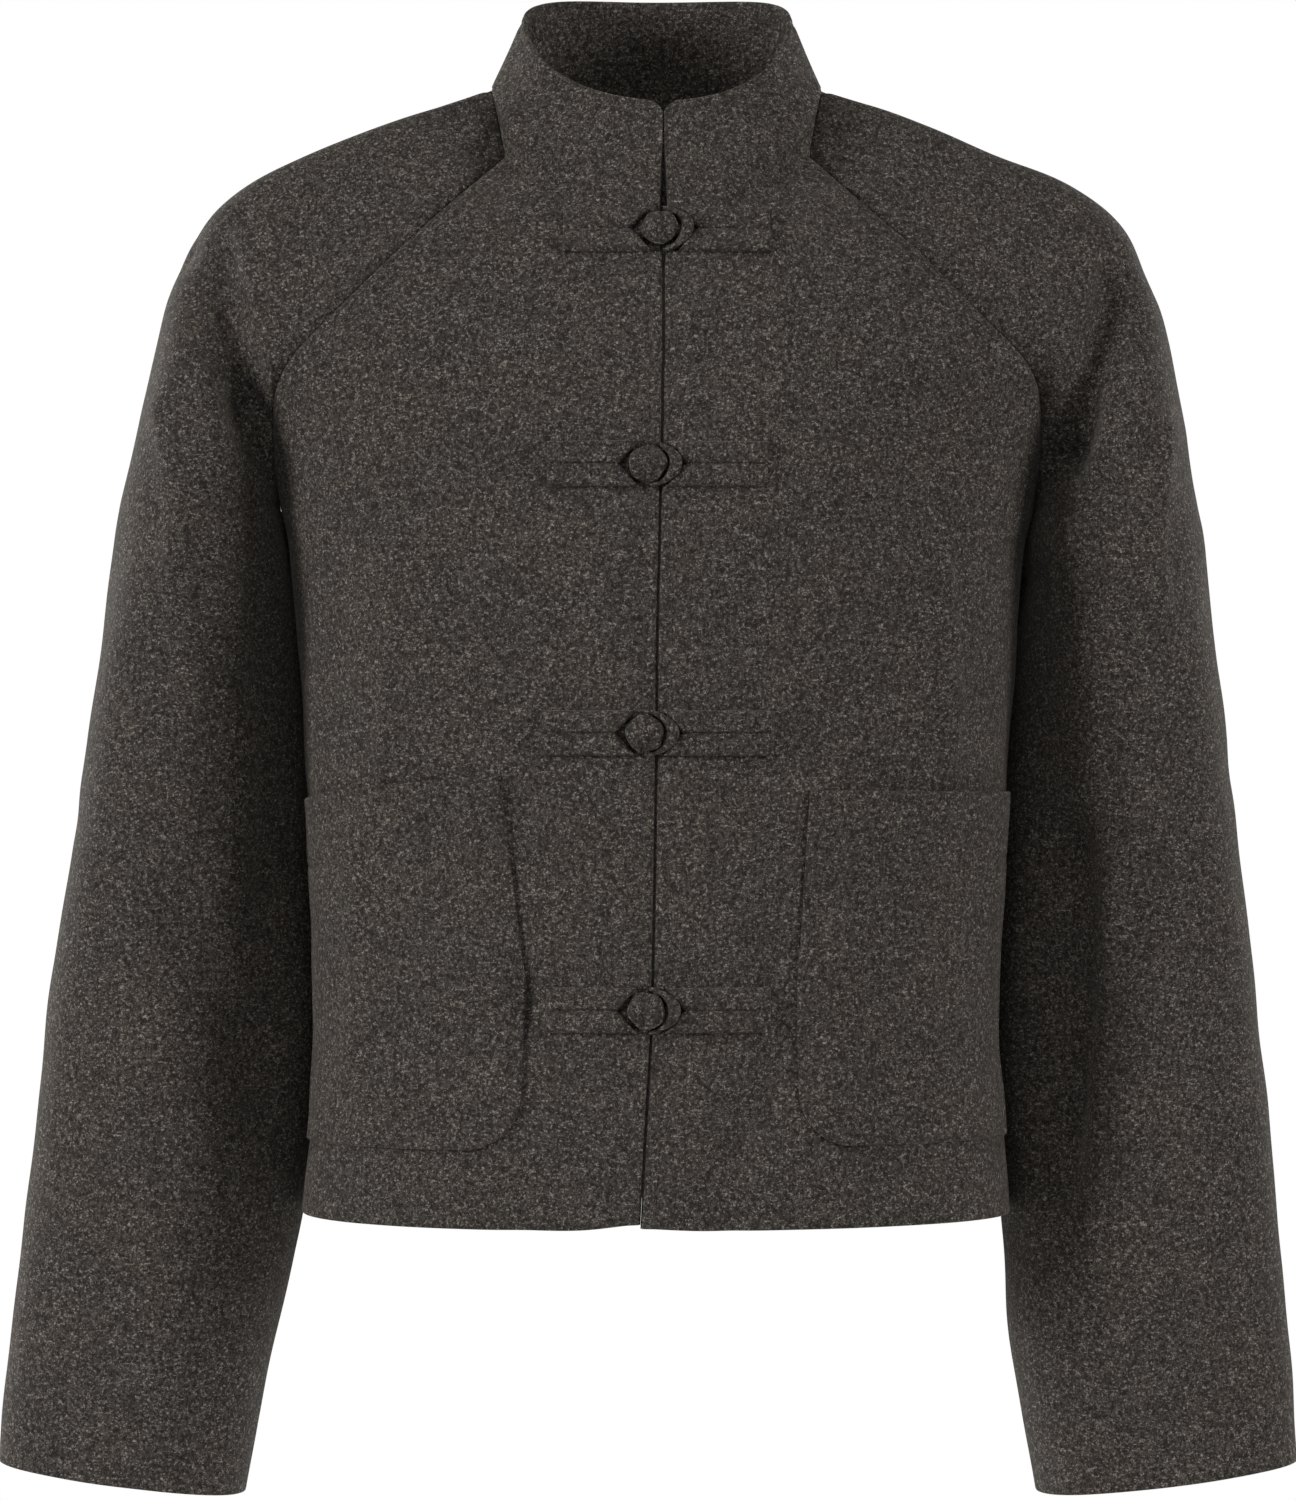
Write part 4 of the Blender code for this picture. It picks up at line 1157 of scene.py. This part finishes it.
def white_studio(fill):
    """A white background, whose light on the jacket is held back to an even fill."""
    world = bpy.data.worlds.new("white_studio")
    world.use_nodes = True
    tree = world.node_tree
    seen = tree.nodes.new("ShaderNodeLightPath").outputs["Is Camera Ray"]
    strength = tree.nodes.new("ShaderNodeMapRange")
    strength.inputs["To Min"].default_value = fill
    strength.inputs["To Max"].default_value = 1.0
    backdrop = tree.nodes["Background"]
    backdrop.inputs["Color"].default_value = (1.0, 1.0, 1.0, 1.0)
    tree.links.new(seen, strength.inputs["Value"])
    tree.links.new(strength.outputs["Result"], backdrop.inputs["Strength"])
    return world


class JACKET_OT_panels(bpy.types.Operator):
    """Lays out the fronts, the back and the sleeves"""

    bl_idname = "jacket.panels"
    bl_label = "Body and sleeves"

    def execute(self, context):
        wool = wool_finish("melange_wool", context.scene.jacket_wool)
        thread = thread_finish("charcoal_thread", context.scene.jacket_sewing)
        cloth = context.scene.jacket_cloth
        for panel in jacket_panels():
            name = panel.cut.name
            outer, inner = panel.walls(cloth)
            piece = placed(wall_mesh(name + "_cloth", outer, inner), wool, name)
            declare_cloth(piece)
            if name.startswith("sleeve"):
                continue
            edges = ["end"] if name == "back" else ["end", "first"]
            lines = [panel.line_inside(side, cloth.edge_sewing / MM, outer) for side in edges]
            placed(stitches_mesh(name + "_sewing", lines, context.scene.jacket_sewing), thread)
        return {"FINISHED"}


class JACKET_OT_pockets(bpy.types.Operator):
    """Lays the two patch pockets on the fronts and sews them down"""

    bl_idname = "jacket.pockets"
    bl_label = "Pockets"

    def execute(self, context):
        wool = bpy.data.materials["melange_wool"]
        thread = bpy.data.materials["charcoal_thread"]
        for pocket in POCKETS:
            outer, inner, normals, away = pocket_walls(pocket, context.scene.jacket_cloth)
            piece = placed(wall_mesh(pocket.name + "_cloth", outer, inner), wool, pocket.name)
            declare_cloth(piece)
            lines = pocket_lines(outer, normals, away)
            placed(stitches_mesh(pocket.name + "_sewing", lines, context.scene.jacket_sewing), thread)
        return {"FINISHED"}


class JACKET_OT_frogs(bpy.types.Operator):
    """Lays the frog strips, the loops and the knots on the fronts"""

    bl_idname = "jacket.frogs"
    bl_label = "Frogs"

    def execute(self, context):
        wool = bpy.data.materials["melange_wool"]
        thread = bpy.data.materials["charcoal_thread"]
        for frog in FROGS:
            for kind, side in (("tab", -1), ("loop", 1)):
                name = f"frog_{kind}_{frog.number}"
                outer, under, normals, from_end = strip_walls(frog, side)
                piece = placed(wall_mesh(name + "_strips", outer, under), wool, name)
                declare_cloth(piece)
                lines = strip_lines(outer, normals, from_end)
                placed(stitches_mesh(name + "_sewing", lines, context.scene.jacket_sewing), thread)
            placed(loop_mesh(f"frog_loop_{frog.number}_ring", frog), wool)
            placed(knot_mesh(f"frog_knot_{frog.number}_cloth", frog), wool, f"frog_knot_{frog.number}")
        return {"FINISHED"}


class JACKET_OT_stage(bpy.types.Operator):
    """Sets out the floor, the light and the camera"""

    bl_idname = "jacket.stage"
    bl_label = "Stage"

    def execute(self, context):
        scene, stage = context.scene, context.scene.jacket_stage
        scene.view_settings.view_transform = "Standard"
        scene.world = white_studio(stage.sky)
        shape = bmesh.new()
        bmesh.ops.create_circle(shape, cap_ends=True, segments=96, radius=stage.floor_radius)
        bmesh.ops.translate(shape, verts=shape.verts[:], vec=(0, 0, stage.floor_height))
        mesh = bpy.data.meshes.new("studio_floor")
        shape.to_mesh(mesh)
        shape.free()
        paper = Finish("floor_paper")
        grain = paper.noise(paper.millimetres(), 0.05, 3.0, 0.5)
        colour = paper.mix(grain, (0.84, 0.84, 0.83, 1), (0.88, 0.88, 0.87, 1))
        paper.feed(paper.shader.inputs["Base Color"], colour)
        paper.shader.inputs["Roughness"].default_value = 0.9
        mesh.materials.append(paper.material)
        floor = bpy.data.objects.new("studio_floor", mesh)
        scene.collection.objects.link(floor)
        for name, place, size, power in STAGE_LIGHTS:
            lamp = bpy.data.lights.new(name, "AREA")
            lamp.energy = power * stage.key
            lamp.size = size
            light = bpy.data.objects.new(name, lamp)
            light.location = place
            aim = Vector(LIT_POINT) - Vector(place)
            light.rotation_euler = aim.to_track_quat("-Z", "Y").to_euler()
            scene.collection.objects.link(light)
        lens = bpy.data.cameras.new("studio_camera")
        lens.lens = stage.lens
        lens.sensor_width = 36
        camera = bpy.data.objects.new("studio_camera", lens)
        camera.location = stage.eye
        camera.rotation_euler = (math.radians(90), 0, 0)
        scene.collection.objects.link(camera)
        scene.camera = camera
        return {"FINISHED"}


class JACKET_PT_pieces(bpy.types.Panel):
    """Lists the jacket's settings and makers"""

    bl_idname = "JACKET_PT_pieces"
    bl_label = "Cropped wool jacket"
    bl_space_type = "VIEW_3D"
    bl_region_type = "UI"
    bl_category = "Jacket"

    def draw(self, context):
        for name, kind in GROUPS.items():
            box = self.layout.box()
            for setting in kind.__annotations__:
                box.prop(getattr(context.scene, name), setting)
        for maker in MAKERS:
            self.layout.operator(maker.bl_idname)


MAKERS = (JACKET_OT_stage, JACKET_OT_panels, JACKET_OT_pockets, JACKET_OT_frogs)
GROUPS = {
    "jacket_cloth": JacketCloth,
    "jacket_wool": JacketWool,
    "jacket_sewing": JacketSewing,
    "jacket_stage": JacketStage,
}


def register():
    for name, group in GROUPS.items():
        bpy.utils.register_class(group)
        setattr(bpy.types.Scene, name, bpy.props.PointerProperty(type=group))
    for kind in (*MAKERS, JACKET_PT_pieces):
        bpy.utils.register_class(kind)


def unregister():
    for kind in (JACKET_PT_pieces, *MAKERS[::-1]):
        bpy.utils.unregister_class(kind)
    for name, group in GROUPS.items():
        delattr(bpy.types.Scene, name)
        bpy.utils.unregister_class(group)


def main():
    for name in ("Cube", "Light", "Camera"):
        startup = bpy.data.objects.get(name)
        if startup:
            bpy.data.objects.remove(startup)
    register()
    bpy.ops.jacket.stage()
    bpy.ops.jacket.panels()
    bpy.ops.jacket.pockets()
    bpy.ops.jacket.frogs()


if __name__ == "__main__":
    main()
